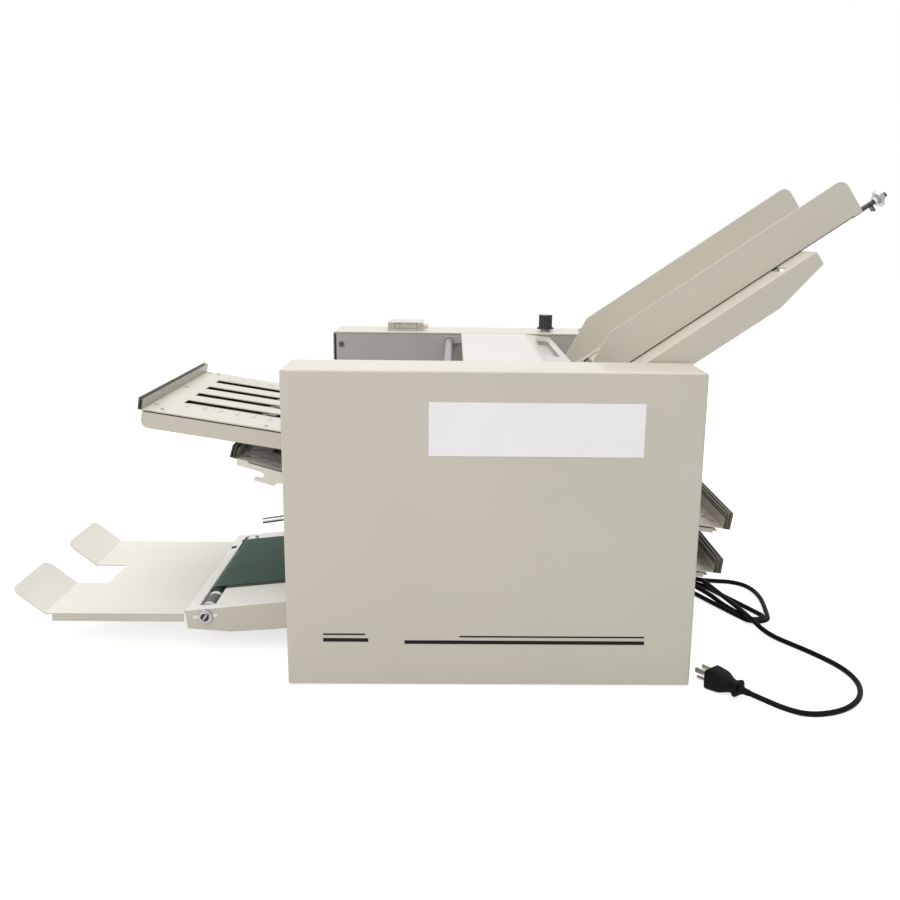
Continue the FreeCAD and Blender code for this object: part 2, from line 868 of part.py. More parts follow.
def separator_pad():
    u_mid = (feed_x - table_x) * math.cos(math.radians(table_angle))
    u_mid += (feed_z - table_z) * math.sin(math.radians(table_angle))
    w_roller = (feed_z - table_z) * math.cos(math.radians(table_angle))
    w_roller -= (feed_x - table_x) * math.sin(math.radians(table_angle))
    top = w_roller - feed_radius - pad_clearance
    pad = box(u_mid - pad_length / 2, u_mid + pad_length / 2, mid_y - pad_half_width,
              mid_y + pad_half_width, 0, top)
    return on_table(pad)


def guide(y, inward):
    """Tall side guide with a foot bent inwards and two pegs through the table's slots."""
    outline = [(guide_low_u, near_touch)] + guide_nose
    outline += [(guide_length, guide_height), (guide_length, near_touch)]
    y0 = y - sheet / 2
    wall = slab_y(outline, y0, y0 + sheet)

    def is_top_corner(edge):
        middle = edge.CenterOfMass
        return abs(middle.x - guide_length) < sheet / 2 and abs(middle.z - guide_height) < sheet / 2

    wall = round_edges(wall, guide_corner, is_top_corner)
    foot_y0, foot_y1 = sorted((y, y + inward * foot_flange))
    foot = box(foot_flange_start, foot_flange_end, foot_y0, foot_y1, near_touch, near_touch + sheet)
    pegs = []
    for u in (slot_low_u, slot_high_u):
        peg = rod(peg_radius, V(u, y + inward * peg_head_radius, near_touch + sheet), V(0, 0, -1),
                  sheet * 2 + near_touch * 2)
        head = rod(peg_head_radius, V(u, y + inward * peg_head_radius, -sheet - near_touch), V(0, 0, -1),
                   peg_head_height)
        pegs += [peg, head]
    return on_table(fuse([wall, foot] + pegs))


def adjust_rod():
    """Dark rod along the near guide's upper end, with the bracket that stops it turning."""
    y = guide_near_y + sheet / 2
    half = adjust_rod_radius
    rod_shape = rod(half, V(adjust_rod_start, y + half, adjust_w), V(1, 0, 0),
                    adjust_rod_end - adjust_rod_start)
    tab = box(tab_u, tab_u + tab_thickness, y + half - tab_half_width, y + half + tab_half_width,
              adjust_w - tab_height - half, adjust_w)
    return on_table(rod_shape.fuse(tab))


def adjust_nut():
    """Chrome flange nut with a white dome, free to turn on the rod's end."""
    y = guide_near_y + sheet / 2 + adjust_rod_radius
    hexagon = [V(nut_start, y + nut_hex_radius * math.cos(math.pi * n / 3),
                 adjust_w + nut_hex_radius * math.sin(math.pi * n / 3)) for n in range(6)]
    body = Part.Face(Part.makePolygon(hexagon + hexagon[:1])).extrude(V(nut_hex_length, 0, 0))
    flange_u = nut_start + nut_hex_length
    flange = rod(nut_flange_radius, V(flange_u, y, adjust_w), V(1, 0, 0), nut_flange)
    dome_u = flange_u + nut_flange
    dome = Part.makeCone(nut_dome_radius, nut_dome_radius / 2, nut_dome_length, V(dome_u, y, adjust_w),
                         V(1, 0, 0))
    bore = rod(adjust_rod_radius + running_clearance, V(nut_start - cut_over, y, adjust_w), V(1, 0, 0),
               nut_hex_length + nut_flange + nut_dome_length + cut_over * 2)
    return on_table(fuse([body, flange, dome]).cut(bore))


def oval(radius, w0, w1):
    """Long rounded block for the finger recess, drawn about the middle of the machine."""
    straight = (recess_length - recess_width) / 2
    ends = [rod(radius, V(0, mid_y + side * straight, w0), V(0, 0, 1), w1 - w0) for side in (-1, 1)]
    return fuse([box(-radius, radius, mid_y - straight, mid_y + straight, w0, w1)] + ends)


def hood():
    """Top sheet over the feed roller, bent down at its front, with lugs round the upper tie rod."""
    y0 = near_inner + hood_side_gap
    y1 = far_inner - hood_side_gap
    low = hood_top - sheet
    outline = [(hood_left, hood_top), (hood_bend, hood_top), (hood_tip_x, hood_tip_z),
               (hood_tip_x, hood_tip_z - sheet), (hood_bend, low), (hood_left + sheet, low),
               (hood_left + sheet, hood_top - hood_flange), (hood_left, hood_top - hood_flange)]
    shell = slab_y(outline, y0, y1)
    lean = math.degrees(math.atan2(hood_top - hood_tip_z, hood_tip_x - hood_bend))
    middle_x = (hood_bend + hood_tip_x) / 2
    middle = (middle_x, (hood_top + hood_tip_z) / 2, -lean)
    cup = slope(oval(recess_width / 2 + sheet, -recess_depth - sheet, -sheet / 2), *middle)
    shell = shell.fuse(cup).cut(slope(oval(recess_width / 2, -recess_depth, hood_flange), *middle))
    lugs = []
    for ly0, ly1 in ((y0, y0 + sheet * 2), (y1 - sheet * 2, y1)):
        arm = [(hinge_x, hinge_z - lug_width / 2), (hinge_x, hinge_z + lug_width / 2),
               (hood_left + sheet, hood_top - sheet), (hood_left + sheet, hood_top - hood_flange)]
        eye = rod_y(tie_radius + lug_wall, hinge_x, hinge_z, ly0, ly1)
        lug = slab_y(arm, ly0, ly1).fuse(eye)
        lugs.append(lug.cut(rod_y(tie_radius + running_clearance, hinge_x, hinge_z, ly0 - cut_over,
                                  ly1 + cut_over)))
    return fuse([shell] + lugs)


# Hooked profile under the rails of plate 3, as shares of the hook's size along u and w
hook_size = 20.4
hook_shares = [(3.0, 0.0), (3.0, -0.72), (2.8, -0.74), (2.52, -0.84), (2.5, -1.0), (1.25, -1.0),
               (1.25, -0.73), (1.71, -0.69), (1.74, -0.48), (1.53, -0.4), (0.1, -0.4), (0.0, 0.0)]
plate_total = plate_sheet * 2 + paper_gap
stud_radius = 3.5
stud_w = -plate_total / 2
stud_shares = {1: (0.62, 0.92), 2: (0.32, 0.85), 3: (0.45, 0.9), 4: (0.32, 0.85)}


def place_plate(number, shape):
    """Local (u, y, w) to its place: u runs inwards from the outer end and w points up."""
    data = plates[number]
    if data["side"] > 0:
        shape = shape.mirror(V(0, 0, 0), V(0, 0, 1))
    return slope(shape, data["x"], data["z"], data["angle"])


def plate_point(number, u, w):
    data = plates[number]
    sign = -1 if data["side"] > 0 else 1
    return on_slope(u, sign * w, data["x"], data["z"], data["angle"])


def rail_outline(number):
    data = plates[number]
    length, depth = data["length"], data["rail"]
    if number == 3:
        return [(u * hook_size, w * hook_size) for u, w in hook_shares[1:]] + [(length, 0), (length, -depth)]
    start = rail_setback if data["side"] > 0 else 0
    return [(start, 0), (length, 0), (length, -depth), (start, -depth)]


def plate_slots(number):
    data = plates[number]
    u0, u1 = data["slots"]
    half = plate_slot_width / 2
    return [box(u0, u1, y - half, y + half, -plate_sheet - cut_over, cut_over) for y in slot_y]


def fold_plate(number):
    """Upper sheet with four long slots, and the two side rails bent down from it."""
    data = plates[number]
    length, depth = data["length"], data["rail"]
    far = plate_near + plate_width
    top = cut_all(box(0, length, plate_near, far, -plate_sheet, 0), plate_slots(number))
    rails = []
    for y0 in (plate_near, far - sheet):
        rail = slab_y(rail_outline(number), y0, y0 + sheet)
        if number == 1:
            rail = round_edges(rail, rail_corner, lambda e: abs(e.CenterOfMass.x) < sheet
                               and abs(e.CenterOfMass.z + depth) < sheet)
        rails.append(rail)
    return place_plate(number, fuse([top] + rails))


def lower_sheets():
    sheets = []
    for number, data in plates.items():
        low = -plate_total
        body = box(plate_margin, data["length"], plate_near + sheet, plate_near + plate_width - sheet,
                   low, low + plate_sheet)
        sheets.append(place_plate(number, body))
    return group(sheets)


def plate_end_bars():
    """Ribbed bars along the outer ends of the plates; the rib on the plate is the lowest."""
    bars = []
    for number, data in plates.items():
        width, low, high, ribs = data["bar"]
        pitch = (width - bar_wall) / (ribs - 1)
        outline = [(0, low), (0, high - bar_wall), (-bar_wall, high - bar_wall)]
        for n in range(1, ribs):
            outline += [(-bar_wall - pitch * (n - 1), low + bar_wall), (-pitch * n, low + bar_wall),
                        (-pitch * n, high), (-pitch * n - bar_wall, high)]
        outline.append((-width, low))
        bars.append(place_plate(number, slab_y(outline, plate_near, plate_near + plate_width)))
    return group(bars)


def plate_studs():
    """Studs on the side frames that carry the plates' rails."""
    studs = []
    for number, shares in stud_shares.items():
        for share in shares:
            x, z = plate_point(number, plates[number]["length"] * share, stud_w)
            studs.append(rod_y(stud_radius, x, z, near_inner, plate_near))
            studs.append(rod_y(stud_radius, x, z, plate_near + plate_width, far_inner))
    return studs


def stop_bar(number):
    """Stop between the two sheets, with a finger up through each slot."""
    u0 = plates[number]["stop"]
    high = -plate_sheet - (paper_gap - stop_thickness) / 2
    bar = box(u0, u0 + stop_length, slot_y[0] - plate_slot_width, slot_y[-1] + plate_slot_width,
              high - stop_thickness, high)
    fingers = [box(u0 + stop_length - finger_length, u0 + stop_length, y - finger_width / 2,
                   y + finger_width / 2, high, high + finger_height / 2) for y in slot_y]
    return place_plate(number, fuse([bar] + fingers))


def on_conveyor(shape):
    return slope(shape, conveyor_x, conveyor_z, conveyor_angle)


side_depth = 34.4
side_nose = 23.0
side_knee_u = 50.8
side_end_u = 281.0
bed_end_u = drive_u - end_roller_radius - bed_end_gap
opening_near = conveyor_near + strip_width
opening_far = conveyor_near + conveyor_width - far_strip_width
end_gap = 2.0


def conveyor_frame():
    """Folded sheet bed with two side plates, open over the rollers at both ends."""
    y0, y1 = conveyor_near, conveyor_near + conveyor_width
    side = [(0, 0), (side_end_u, 0), (side_end_u, -side_depth), (side_knee_u * 2, -side_depth),
            (side_knee_u, -side_depth + end_gap), (end_gap / 2, -side_nose)]
    sides = []
    for a in (y0, y1 - sheet):
        wall = slab_y(side, a, a + sheet)
        slot_half = tension_slot_height / 2
        holes = [box(tension_slot_start, tension_slot_end, a - cut_over, a + sheet + cut_over,
                     axis_w - slot_half, axis_w + slot_half),
                 rod_y(bearing_radius / 2 + cover_wall, drive_u, axis_w, a - cut_over, a + sheet + cut_over)]
        holes += [rod_y(support_rod_radius, u, axis_w, a - cut_over, a + sheet + cut_over)
                  for u in support_us]
        sides.append(cut_all(wall, holes))
    bed = box(0, bed_end_u, y0, y1, -sheet, 0)
    opening = box(strip_width, bed_start, opening_near, opening_far, -sheet - cut_over, cut_over)
    front = box(0, sheet, y0, y1, -side_nose, 0)
    frame = on_conveyor(fuse([bed.cut(opening), front] + sides))
    return cut_all(frame, [tongue(y, near_touch) for y in tongue_starts()])


def tongue_starts():
    return (tray_near + tongue_offset, tray_near + tray_width - tongue_offset - tongue_width)


def tongue(y, grow):
    x0 = conveyor_left - tray_gap
    return box(x0 - grow, x0 + tongue_length - sheet * 2 + grow, y - grow, y + tongue_width + grow,
               tray_z - sheet - grow, tray_z + grow)


def receiving_tray():
    """Sheet tray with two raised end tabs, hooked into the conveyor's end by two tongues."""
    x1 = conveyor_left - tray_gap
    x0 = x1 - tray_length
    y0, y1 = tray_near, tray_near + tray_width
    notch_y = y0 + notch_start
    top = box(x0, x1, y0, y1, tray_z - sheet, tray_z)
    notch = box(x0 - cut_over, x0 + notch_depth, notch_y, notch_y + notch_width,
                tray_z - sheet - cut_over, tray_z + cut_over)
    flanges = [box(x0 + end_gap * 4, x1, y0, y0 + sheet, tray_z - tray_flange, tray_z),
               box(x0 + end_gap * 4, x1, y1 - sheet, y1, tray_z - tray_flange, tray_z)]
    parts = [top.cut(notch)] + flanges + [tongue(y, 0) for y in tongue_starts()]
    length = math.hypot(tab_run, tab_rise)
    lean = math.degrees(math.atan2(tab_rise, tab_run))
    for a, b in ((y0, notch_y), (notch_y + notch_width, y1)):
        tab = box(-length, sheet, a, b, -sheet, 0)
        tab = round_edges(tab, tab_corner, lambda e: abs(e.CenterOfMass.x + length) < sheet / 2
                          and abs(e.CenterOfMass.z + sheet / 2) < sheet / 4)
        parts.append(slope(tab, x0, tray_z, -lean))
    return fuse(parts)


def conveyor_belt():
    radius = end_roller_radius + near_touch
    return belt_loop(idler_at, drive_at, radius, radius, conveyor_belt_thickness, belt_near,
                     belt_near + belt_width)


def idler_shaft():
    return rod_y(end_shaft_radius, idler_at[0], idler_at[1], conveyor_near + sheet,
                 conveyor_near + conveyor_width - sheet)


def idler_roller():
    return ring_y(end_roller_radius, end_shaft_radius + running_clearance, idler_at[0], idler_at[1],
                  opening_near + end_gap, opening_far - end_gap)


def drive_roller():
    x, z = drive_at
    body = rod_y(end_roller_radius, x, z, opening_near + end_gap, opening_far - end_gap)
    shaft = rod_y(drive_journal_radius, x, z, pulley_y0, far_outer + journal_far_reach)
    pulley = rod_y(pulley_radius, x, z, pulley_y0, pulley_y1)
    return fuse([body, shaft, pulley])


def tension_screws():
    screws = []
    x, z = idler_at
    for face, away in ((conveyor_near, -1), (conveyor_near + conveyor_width, 1)):
        washer = rod(tension_washer_radius, V(x, face, z), V(0, away, 0), sheet)
        corners = [V(x + tie_head_radius * math.cos(math.pi * n / 3), face + away * sheet,
                     z + tie_head_radius * math.sin(math.pi * n / 3)) for n in range(6)]
        head = Part.Face(Part.makePolygon(corners + corners[:1])).extrude(V(0, away * tie_head_height, 0))
        shank = rod(bolt_radius, V(x, face, z), V(0, -away, 0), sheet)
        screws.append(fuse([washer, head, shank]))
    return screws


press_wheel_z = on_slope((press_wheel_x - conveyor_x) / math.cos(math.radians(conveyor_angle)),
                         belt_rise + near_touch * 2 + conveyor_belt_thickness, conveyor_x, conveyor_z,
                         conveyor_angle)[1] + press_wheel_radius + near_touch


def press_arm():
    """Rod hinged across the machine, whose link holds two wheels down on the belt."""
    start = V(press_pivot_x, press_y, press_pivot_z)
    tip = V(press_tip_x, press_y, press_tip_z)
    arm = rod(press_rod_radius, start, tip - start, (tip - start).Length)
    y0 = press_y - press_hub_width / 2
    hub = rod_y(press_hub_radius, press_pivot_x, press_pivot_z, y0, y0 + press_hub_width)
    share = (press_pivot_x - press_wheel_x) / (press_pivot_x - press_tip_x)
    arm_z = press_pivot_z + (press_tip_z - press_pivot_z) * share
    half = press_link_width / 2
    link = box(press_wheel_x - half, press_wheel_x + half, press_y - press_link_thickness / 2,
               press_y + press_link_thickness / 2, press_wheel_z - half, arm_z)
    reach = press_link_thickness / 2 + near_touch + press_wheel_width + end_gap
    axle = rod_y(press_axle_radius, press_wheel_x, press_wheel_z, press_y - reach, press_y + reach)
    solid = fuse([arm, hub, link, axle])
    return solid.cut(rod_y(press_shaft_radius + running_clearance, press_pivot_x, press_pivot_z,
                           y0 - cut_over, y0 + press_hub_width + cut_over))


def press_wheels():
    wheels = []
    inner = press_link_thickness / 2 + near_touch
    for y0 in (press_y + inner, press_y - inner - press_wheel_width):
        wheels.append(ring_y(press_wheel_radius, press_axle_radius + running_clearance, press_wheel_x,
                             press_wheel_z, y0, y0 + press_wheel_width))
    return group(wheels)


counter_top = cover_height + counter_height
window_low = cover_height + counter_base + near_touch * 2
window_x = counter_x + (counter_length - window_length) / 2
digit_y = counter_y + window_pane + near_touch * 2 + digit_radius
digit_z = window_low + window_height / 2


def counter_case():
    """Case with a well behind the window on its front; the digit wheels turn in the well."""
    outer = box(counter_x, counter_x + counter_length, counter_y, counter_y + counter_width,
                cover_height + counter_base, counter_top)
    foot = box(counter_x - near_touch, counter_x + counter_length + near_touch, counter_y - near_touch,
               counter_y + counter_width + near_touch, cover_height, cover_height + counter_base)
    well = box(window_x, window_x + window_length, counter_y - cut_over,
               digit_y + digit_radius + near_touch * 2, window_low, window_low + window_height)
    shaft_hole = rod(reset_shaft_radius + running_clearance, V(window_x, digit_y, digit_z), V(1, 0, 0),
                     counter_length)
    return fuse([outer, foot]).cut(well).cut(shaft_hole)


def counter_window():
    return box(window_x, window_x + window_length, counter_y, counter_y + window_pane,
               window_low, window_low + window_height)


def digit_wheels():
    wheels = []
    first = window_x + (window_length - digit_pitch * digit_count) / 2
    for n in range(digit_count):
        x = first + digit_pitch * n + (digit_pitch - digit_width) / 2
        wheels.append(rod(digit_radius, V(x, digit_y, digit_z), V(1, 0, 0), digit_width))
    end = counter_x + counter_length + near_touch + reset_length / 2
    wheels.append(rod(reset_shaft_radius, V(first, digit_y, digit_z), V(1, 0, 0), end - first))
    return fuse(wheels)


def reset_knob():
    x = counter_x + counter_length + near_touch * 2
    body = rod(reset_radius, V(x, digit_y, digit_z), V(1, 0, 0), reset_length)
    bore = rod(reset_shaft_radius, V(x - cut_over, digit_y, digit_z), V(1, 0, 0),
               cut_over + reset_length / 2 - near_touch)
    notches = []
    for n in range(digit_count * 2):
        angle = math.pi * n / digit_count
        centre = V(x - cut_over, digit_y + reset_radius * math.cos(angle),
                   digit_z + reset_radius * math.sin(angle))
        notches.append(rod(near_touch * 2, centre, V(1, 0, 0), reset_length + cut_over * 2))
    return cut_all(body, notches + [bore])


def speed_knob():
    """Fluted knob on the shaft of the speed control."""
    low = cover_height + knob_nut_height + knob_gap
    middle = low + knob_skirt_height
    top = low + knob_height
    skirt = rod(knob_skirt_radius, V(knob_x, knob_y, low), V(0, 0, 1), knob_skirt_height)
    body = rod(knob_radius, V(knob_x, knob_y, middle), V(0, 0, 1), top - middle)
    flutes = []
    for n in range(knob_flutes):
        angle = 2 * math.pi * n / knob_flutes
        centre = V(knob_x + knob_radius * math.cos(angle), knob_y + knob_radius * math.sin(angle), middle)
        flutes.append(rod(knob_flute_radius, centre, V(0, 0, 1), knob_height))
    shaft = rod(pot_shaft_radius, V(knob_x, knob_y, frame_top - pot_height), V(0, 0, 1),
                low - frame_top + pot_height)
    return fuse([skirt, body.cut(group(flutes)), shaft])


def potentiometer():
    can = rod(pot_radius, V(knob_x, knob_y, frame_top - pot_height), V(0, 0, 1), pot_height)
    nut = rod(knob_nut_radius, V(knob_x, knob_y, cover_height), V(0, 0, 1), knob_nut_height)
    bore = rod(pot_shaft_radius + running_clearance, V(knob_x, knob_y, frame_top - pot_height - cut_over),
               V(0, 0, 1), pot_height + cover_wall + knob_nut_height + cut_over * 2)
    return [can.cut(bore), nut.cut(bore)]


def switch_box(length, width, z0, z1):
    return box(switch_x - length / 2, switch_x + length / 2, switch_y - width / 2, switch_y + width / 2,
               z0, z1)


rocker_angle = 8.0
rocker_z = cover_height + bezel_height / 2
switch_opening_length = rocker_length + rocker_side_gap * 2
switch_opening_width = rocker_width + rocker_side_gap * 2


def switch_bezel():
    """Black bezel over the switch's housing, open for the rocker."""
    rim = switch_box(bezel_length, bezel_width, cover_height, cover_height + bezel_height)
    neck_low = frame_top - switch_body_depth
    housing = switch_box(switch_opening_length, switch_opening_width, neck_low, cover_height)
    well_low = rocker_z - rocker_height
    well = switch_box(switch_opening_length - near_touch, switch_opening_width - near_touch, well_low,
                      cover_height + bezel_height + cut_over)
    pin = rod_y(rocker_pin_radius + running_clearance, switch_x, rocker_z, switch_y - bezel_width / 2,
                switch_y + bezel_width / 2)
    return fuse([rim, housing]).cut(well).cut(pin)


def rocker():
    half = rocker_length / 2 - rocker_side_gap
    high = rocker_height / 2
    outline = [(-half, high), (0, high / 3), (half, high), (half, -high / 2), (0, -high), (-half, -high / 2)]
    body = slab_y(outline, -rocker_width / 2 + near_touch, rocker_width / 2 - near_touch)
    pin = rod_y(rocker_pin_radius, 0, 0, -rocker_width / 2 - rocker_pin_radius,
                rocker_width / 2 + rocker_pin_radius)
    turned = slope(body.fuse(pin), 0, 0, -rocker_angle)
    turned.translate(V(switch_x, switch_y, rocker_z))
    return turned


def control_board():
    y0 = far_outer + board_standoff
    board = box(board_x, board_x + board_length, y0, y0 + board_thickness, board_z, board_z + board_height)
    inset = bolt_radius * 3
    posts = []
    for x in (board_x + inset, board_x + board_length - inset):
        for z in (board_z + inset, board_z + board_height - inset):
            posts.append(rod_y(board_post_radius, x, z, far_outer, y0))
    chips = []
    for n in range(chip_count):
        x = board_x + inset * 2 + n * chip_pitch
        z = board_z + chip_low
        chips.append(box(x, x + chip_length, y0 + board_thickness, y0 + board_standoff, z, z + chip_length))
    return fuse([board] + posts + chips)


def transformer():
    y0 = far_outer + board_standoff
    x1 = transformer_x + transformer_length
    top = base_top + transformer_height
    core = box(transformer_x, x1, y0, y0 + core_depth, base_top, top)
    coil = box(transformer_x + coil_inset, x1 - coil_inset, y0, y0 + transformer_depth,
               base_top + coil_inset, top - coil_inset)
    return fuse([core, coil])


def cord_gland():
    """Tapered strain relief on the far cover's right end, with its neck and inner nut."""
    start = V(body_length, gland_y, gland_z)
    flange = rod(gland_flange_radius, start, V(1, 0, 0), gland_flange)
    taper = Part.makeCone(gland_start_radius, gland_end_radius, gland_length, start, V(1, 0, 0))
    neck = rod(gland_start_radius - bolt_radius, start, V(-1, 0, 0), cover_wall)
    nut = rod(gland_flange_radius, start - V(cover_wall, 0, 0), V(-1, 0, 0), gland_flange)
    return fuse([flange, taper, neck, nut])


cord_radius = cord_diameter / 2
cord_z = -floor_drop + cord_radius
layer_z = cord_z + cord_diameter + layer_gap
# The cord's route was chosen beside a machine of these sizes, and moves with its corner
chosen_length = 460.0
chosen_far_start = 388.0
cord_move = V(body_length - chosen_length, far_start - chosen_far_start, 0)
gland_tip = chosen_length + gland_length

# Route of the free cord from the strain relief to the hank, chosen by hand
lead_route = [(gland_tip, 430.0, 25.0), (507.0, 430.0, 24.4), (527.0, 420.0, 20.0), (538.6, 401.0, 13.0),
              (540.0, 379.5, 5.0), (545.0, 359.0, cord_z), (561.0, 344.5, cord_z), (582.0, 340.5, cord_z),
              (603.0, 338.0, cord_z), (619.5, 325.5, cord_z), (627.0, 305.0, cord_z),
              (628.5, 282.0, cord_z), (626.5, 257.0, cord_z), (621.6, 231.8, cord_z)]

# Flat hank beside the machine: three long runs on the floor and a fourth lying across them
hank_x = 597.7
hank_y = 208.4
hank_angle = -64.5
hank_run = 120.0
hank_turns = (19.5, 16.0, 12.5, 13.0)
hank_entry = 55.5
hank_cross = 30.0

# Route of the free cord from the hank to the plug, chosen by hand
run_route = [(587.0, 178.5, 5.9), (593.5, 159.5, 1.6), (602.5, 140.5, cord_z), (615.0, 121.0, cord_z),
             (629.0, 101.0, cord_z), (642.0, 79.5, cord_z), (653.5, 57.0, cord_z), (660.0, 33.0, cord_z),
             (660.0, 8.0, cord_z), (653.0, -15.5, cord_z), (640.0, -36.5, cord_z), (620.5, -54.0, cord_z),
             (597.0, -64.0, cord_z), (573.0, -66.0, cord_z), (550.5, -60.8, 3.0), (530.3, -49.8, 8.0)]
plug_rear = V(518.0, -34.0, 8.0)
plug_heading = 128.0


def spot(t, n, z):
    """A point of the hank: t along its runs, n across them."""
    turn = math.radians(hank_angle)
    return V(hank_x + t * math.cos(turn) - n * math.sin(turn),
             hank_y + t * math.sin(turn) + n * math.cos(turn), z)


def arc_edge(centre_t, centre_n, radius, start, end, z):
    """Arc in the hank's own plane; angles are in degrees from the run direction."""
    points = []
    for share in (0.0, 0.5, 1.0):
        angle = math.radians(start + (end - start) * share)
        points.append(spot(centre_t + radius * math.cos(angle), centre_n + radius * math.sin(angle), z))
    return Part.Arc(*points).toShape()


def climb_edges(t0, t1, n, z0, z1):
    """Two tangent arcs that lift a straight run from one layer to the next."""
    middle_t = (t0 + t1) / 2
    rise = (z1 - z0) / 2
    edges = []
    for a, b, za, zb, sign in ((t0, middle_t, z0, z0 + rise, 1), (middle_t, t1, z0 + rise, z1, -1)):
        length = abs(b - a)
        radius = (length ** 2 + rise ** 2) / (2 * rise)
        half = math.asin(length / radius) / 2
        direction = 1 if b > a else -1
        if sign > 0:
            mid = spot(a + direction * radius * math.sin(half), n, za + radius * (1 - math.cos(half)))
        else:
            mid = spot(b - direction * radius * math.sin(half), n, zb - radius * (1 - math.cos(half)))
        edges.append(Part.Arc(spot(a, n, za), mid, spot(b, n, zb)).toShape())
    return edges


def hank_edges():
    r0, r1, r2, r3 = hank_turns
    edges = []
    n = -r0
    edges.append(arc_edge(0, 0, r0, hank_entry, -90, cord_z))
    edges.append(Part.LineSegment(spot(0, n, cord_z), spot(-hank_run, n, cord_z)).toShape())
    edges.append(arc_edge(-hank_run, n + r1, r1, -90, -270, cord_z))
    n += 2 * r1
    edges.append(Part.LineSegment(spot(-hank_run, n, cord_z), spot(0, n, cord_z)).toShape())
    edges.append(arc_edge(0, n - r2, r2, 90, -90, cord_z))
    n -= 2 * r2
    edges += climb_edges(0, -hank_run, n, cord_z, layer_z)
    lean = math.degrees(math.atan2(hank_cross, hank_run))
    edges.append(arc_edge(-hank_run, n + r3, r3, -90, -270 - lean, layer_z))
    leave = edges[-1].Vertexes[-1].Point
    heading = math.radians(hank_angle - lean)
    length = math.hypot(hank_run, hank_cross)
    end = leave + V(math.cos(heading), math.sin(heading), 0) * length
    edges.append(Part.LineSegment(leave, end).toShape())
    return edges


# Share of a straight run that the arc at each of its ends may take
reach_share = 0.45


def tube(route, radius):
    """Straight runs joined by tangent arcs, each as large as its two runs allow."""
    points = [V(*p) for p in route]
    edges = []
    radii = []
    length = 0.0
    last = points[0]
    for before, corner, after in zip(points, points[1:], points[2:]):
        way_in = (corner - before).normalize()
        way_out = (after - corner).normalize()
        turn = way_in.getAngle(way_out)
        reach = reach_share * min((corner - before).Length, (after - corner).Length)
        bend = reach / math.tan(turn / 2)
        start = corner - way_in * reach
        end = corner + way_out * reach
        inward = (way_out - way_in).normalize()
        middle = corner + inward * (bend / math.cos(turn / 2) - bend)
        edges.append(Part.LineSegment(last, start).toShape())
        edges.append(Part.Arc(start, middle, end).toShape())
        length += (start - last).Length + bend * turn
        radii.append(bend)
        last = end
    edges.append(Part.LineSegment(last, points[-1]).toShape())
    length += (points[-1] - last).Length
    return sweep(edges, radius), length, radii


def sweep(edges, radius):
    path = Part.Wire(edges)
    first = path.OrderedEdges[0]
    start = first.valueAt(first.FirstParameter)
    direction = first.tangentAt(first.FirstParameter)
    ring = Part.Wire(Part.makeCircle(radius, start, direction))
    return path.makePipeShell([ring], True, False)


def least_gap(edges, step):
    """Least gap between parts of a wound cord that are not neighbours along it."""
    points = []
    for edge in Part.Wire(edges).OrderedEdges:
        count = max(2, int(edge.Length / step))
        points += edge.discretize(count)[:-1]
    skip = int(cord_diameter * 4 / step)
    least = cord_diameter * 10
    for i, a in enumerate(points):
        for b in points[i + skip:]:
            least = min(least, (a - b).Length)
    return least - cord_diameter


def cord_parts():
    """The lead, the hank and the run to the plug, with their lengths."""
    winding = hank_edges()
    wire = Part.Wire(winding)
    entry = winding[0].Vertexes[0].Point
    leave = winding[-1].Vertexes[-1].Point
    lead, lead_length, lead_radii = tube(lead_route + [tuple(entry)], cord_radius)
    run, run_length, run_radii = tube([tuple(leave)] + run_route + [tuple(plug_rear)], cord_radius)
    hank = sweep(winding, cord_radius)
    section = math.pi * cord_radius ** 2
    print("cord arc radii", [round(r, 1) for r in lead_radii + run_radii])
    print("cord lengths", round(lead_length, 1), round(wire.Length, 1), round(run_length, 1))
    for name, shape, length in (("lead", lead, lead_length), ("hank", hank, wire.Length),
                                ("run", run, run_length)):
        print(name, "volume over section times length", round(shape.Volume / (section * length), 4))
    print("least gap in the hank", round(least_gap(winding, cord_diameter / 4), 2))
    parts = {"cord_lead": lead, "cord_hank": hank, "cord_run": run}
    for shape in parts.values():
        shape.translate(cord_move)
    return parts


def plug():
    """Three-pin plug lying on its side, drawn along u and then turned to its heading."""
    relief = Part.makeCone(cord_radius, plug_neck_radius, plug_relief, V(0, 0, 0), V(1, 0, 0))
    body = box(plug_relief, plug_relief + plug_body, -plug_width / 2, plug_width / 2, -plug_height / 2,
               plug_height / 2)
    body = body.makeFillet(plug_round, [e for e in body.Edges if abs(e.CenterOfMass.x - plug_relief
                                                                    - plug_body) > near_touch])
    face = plug_relief + plug_body
    parts = [relief, body]
    for v in (-blade_pitch / 2, blade_pitch / 2):
        parts.append(box(face - plug_round, face + blade_length, v - blade_thickness / 2,
                         v + blade_thickness / 2, blade_w - blade_width / 2, blade_w + blade_width / 2))
    parts.append(rod(pin_radius, V(face - plug_round, 0, blade_w - pin_drop), V(1, 0, 0),
                     plug_round + blade_length + blade_thickness))
    whole = fuse(parts)
    whole.rotate(V(0, 0, 0), V(0, 0, 1), plug_heading)
    whole.translate(plug_rear + cord_move)
    return whole


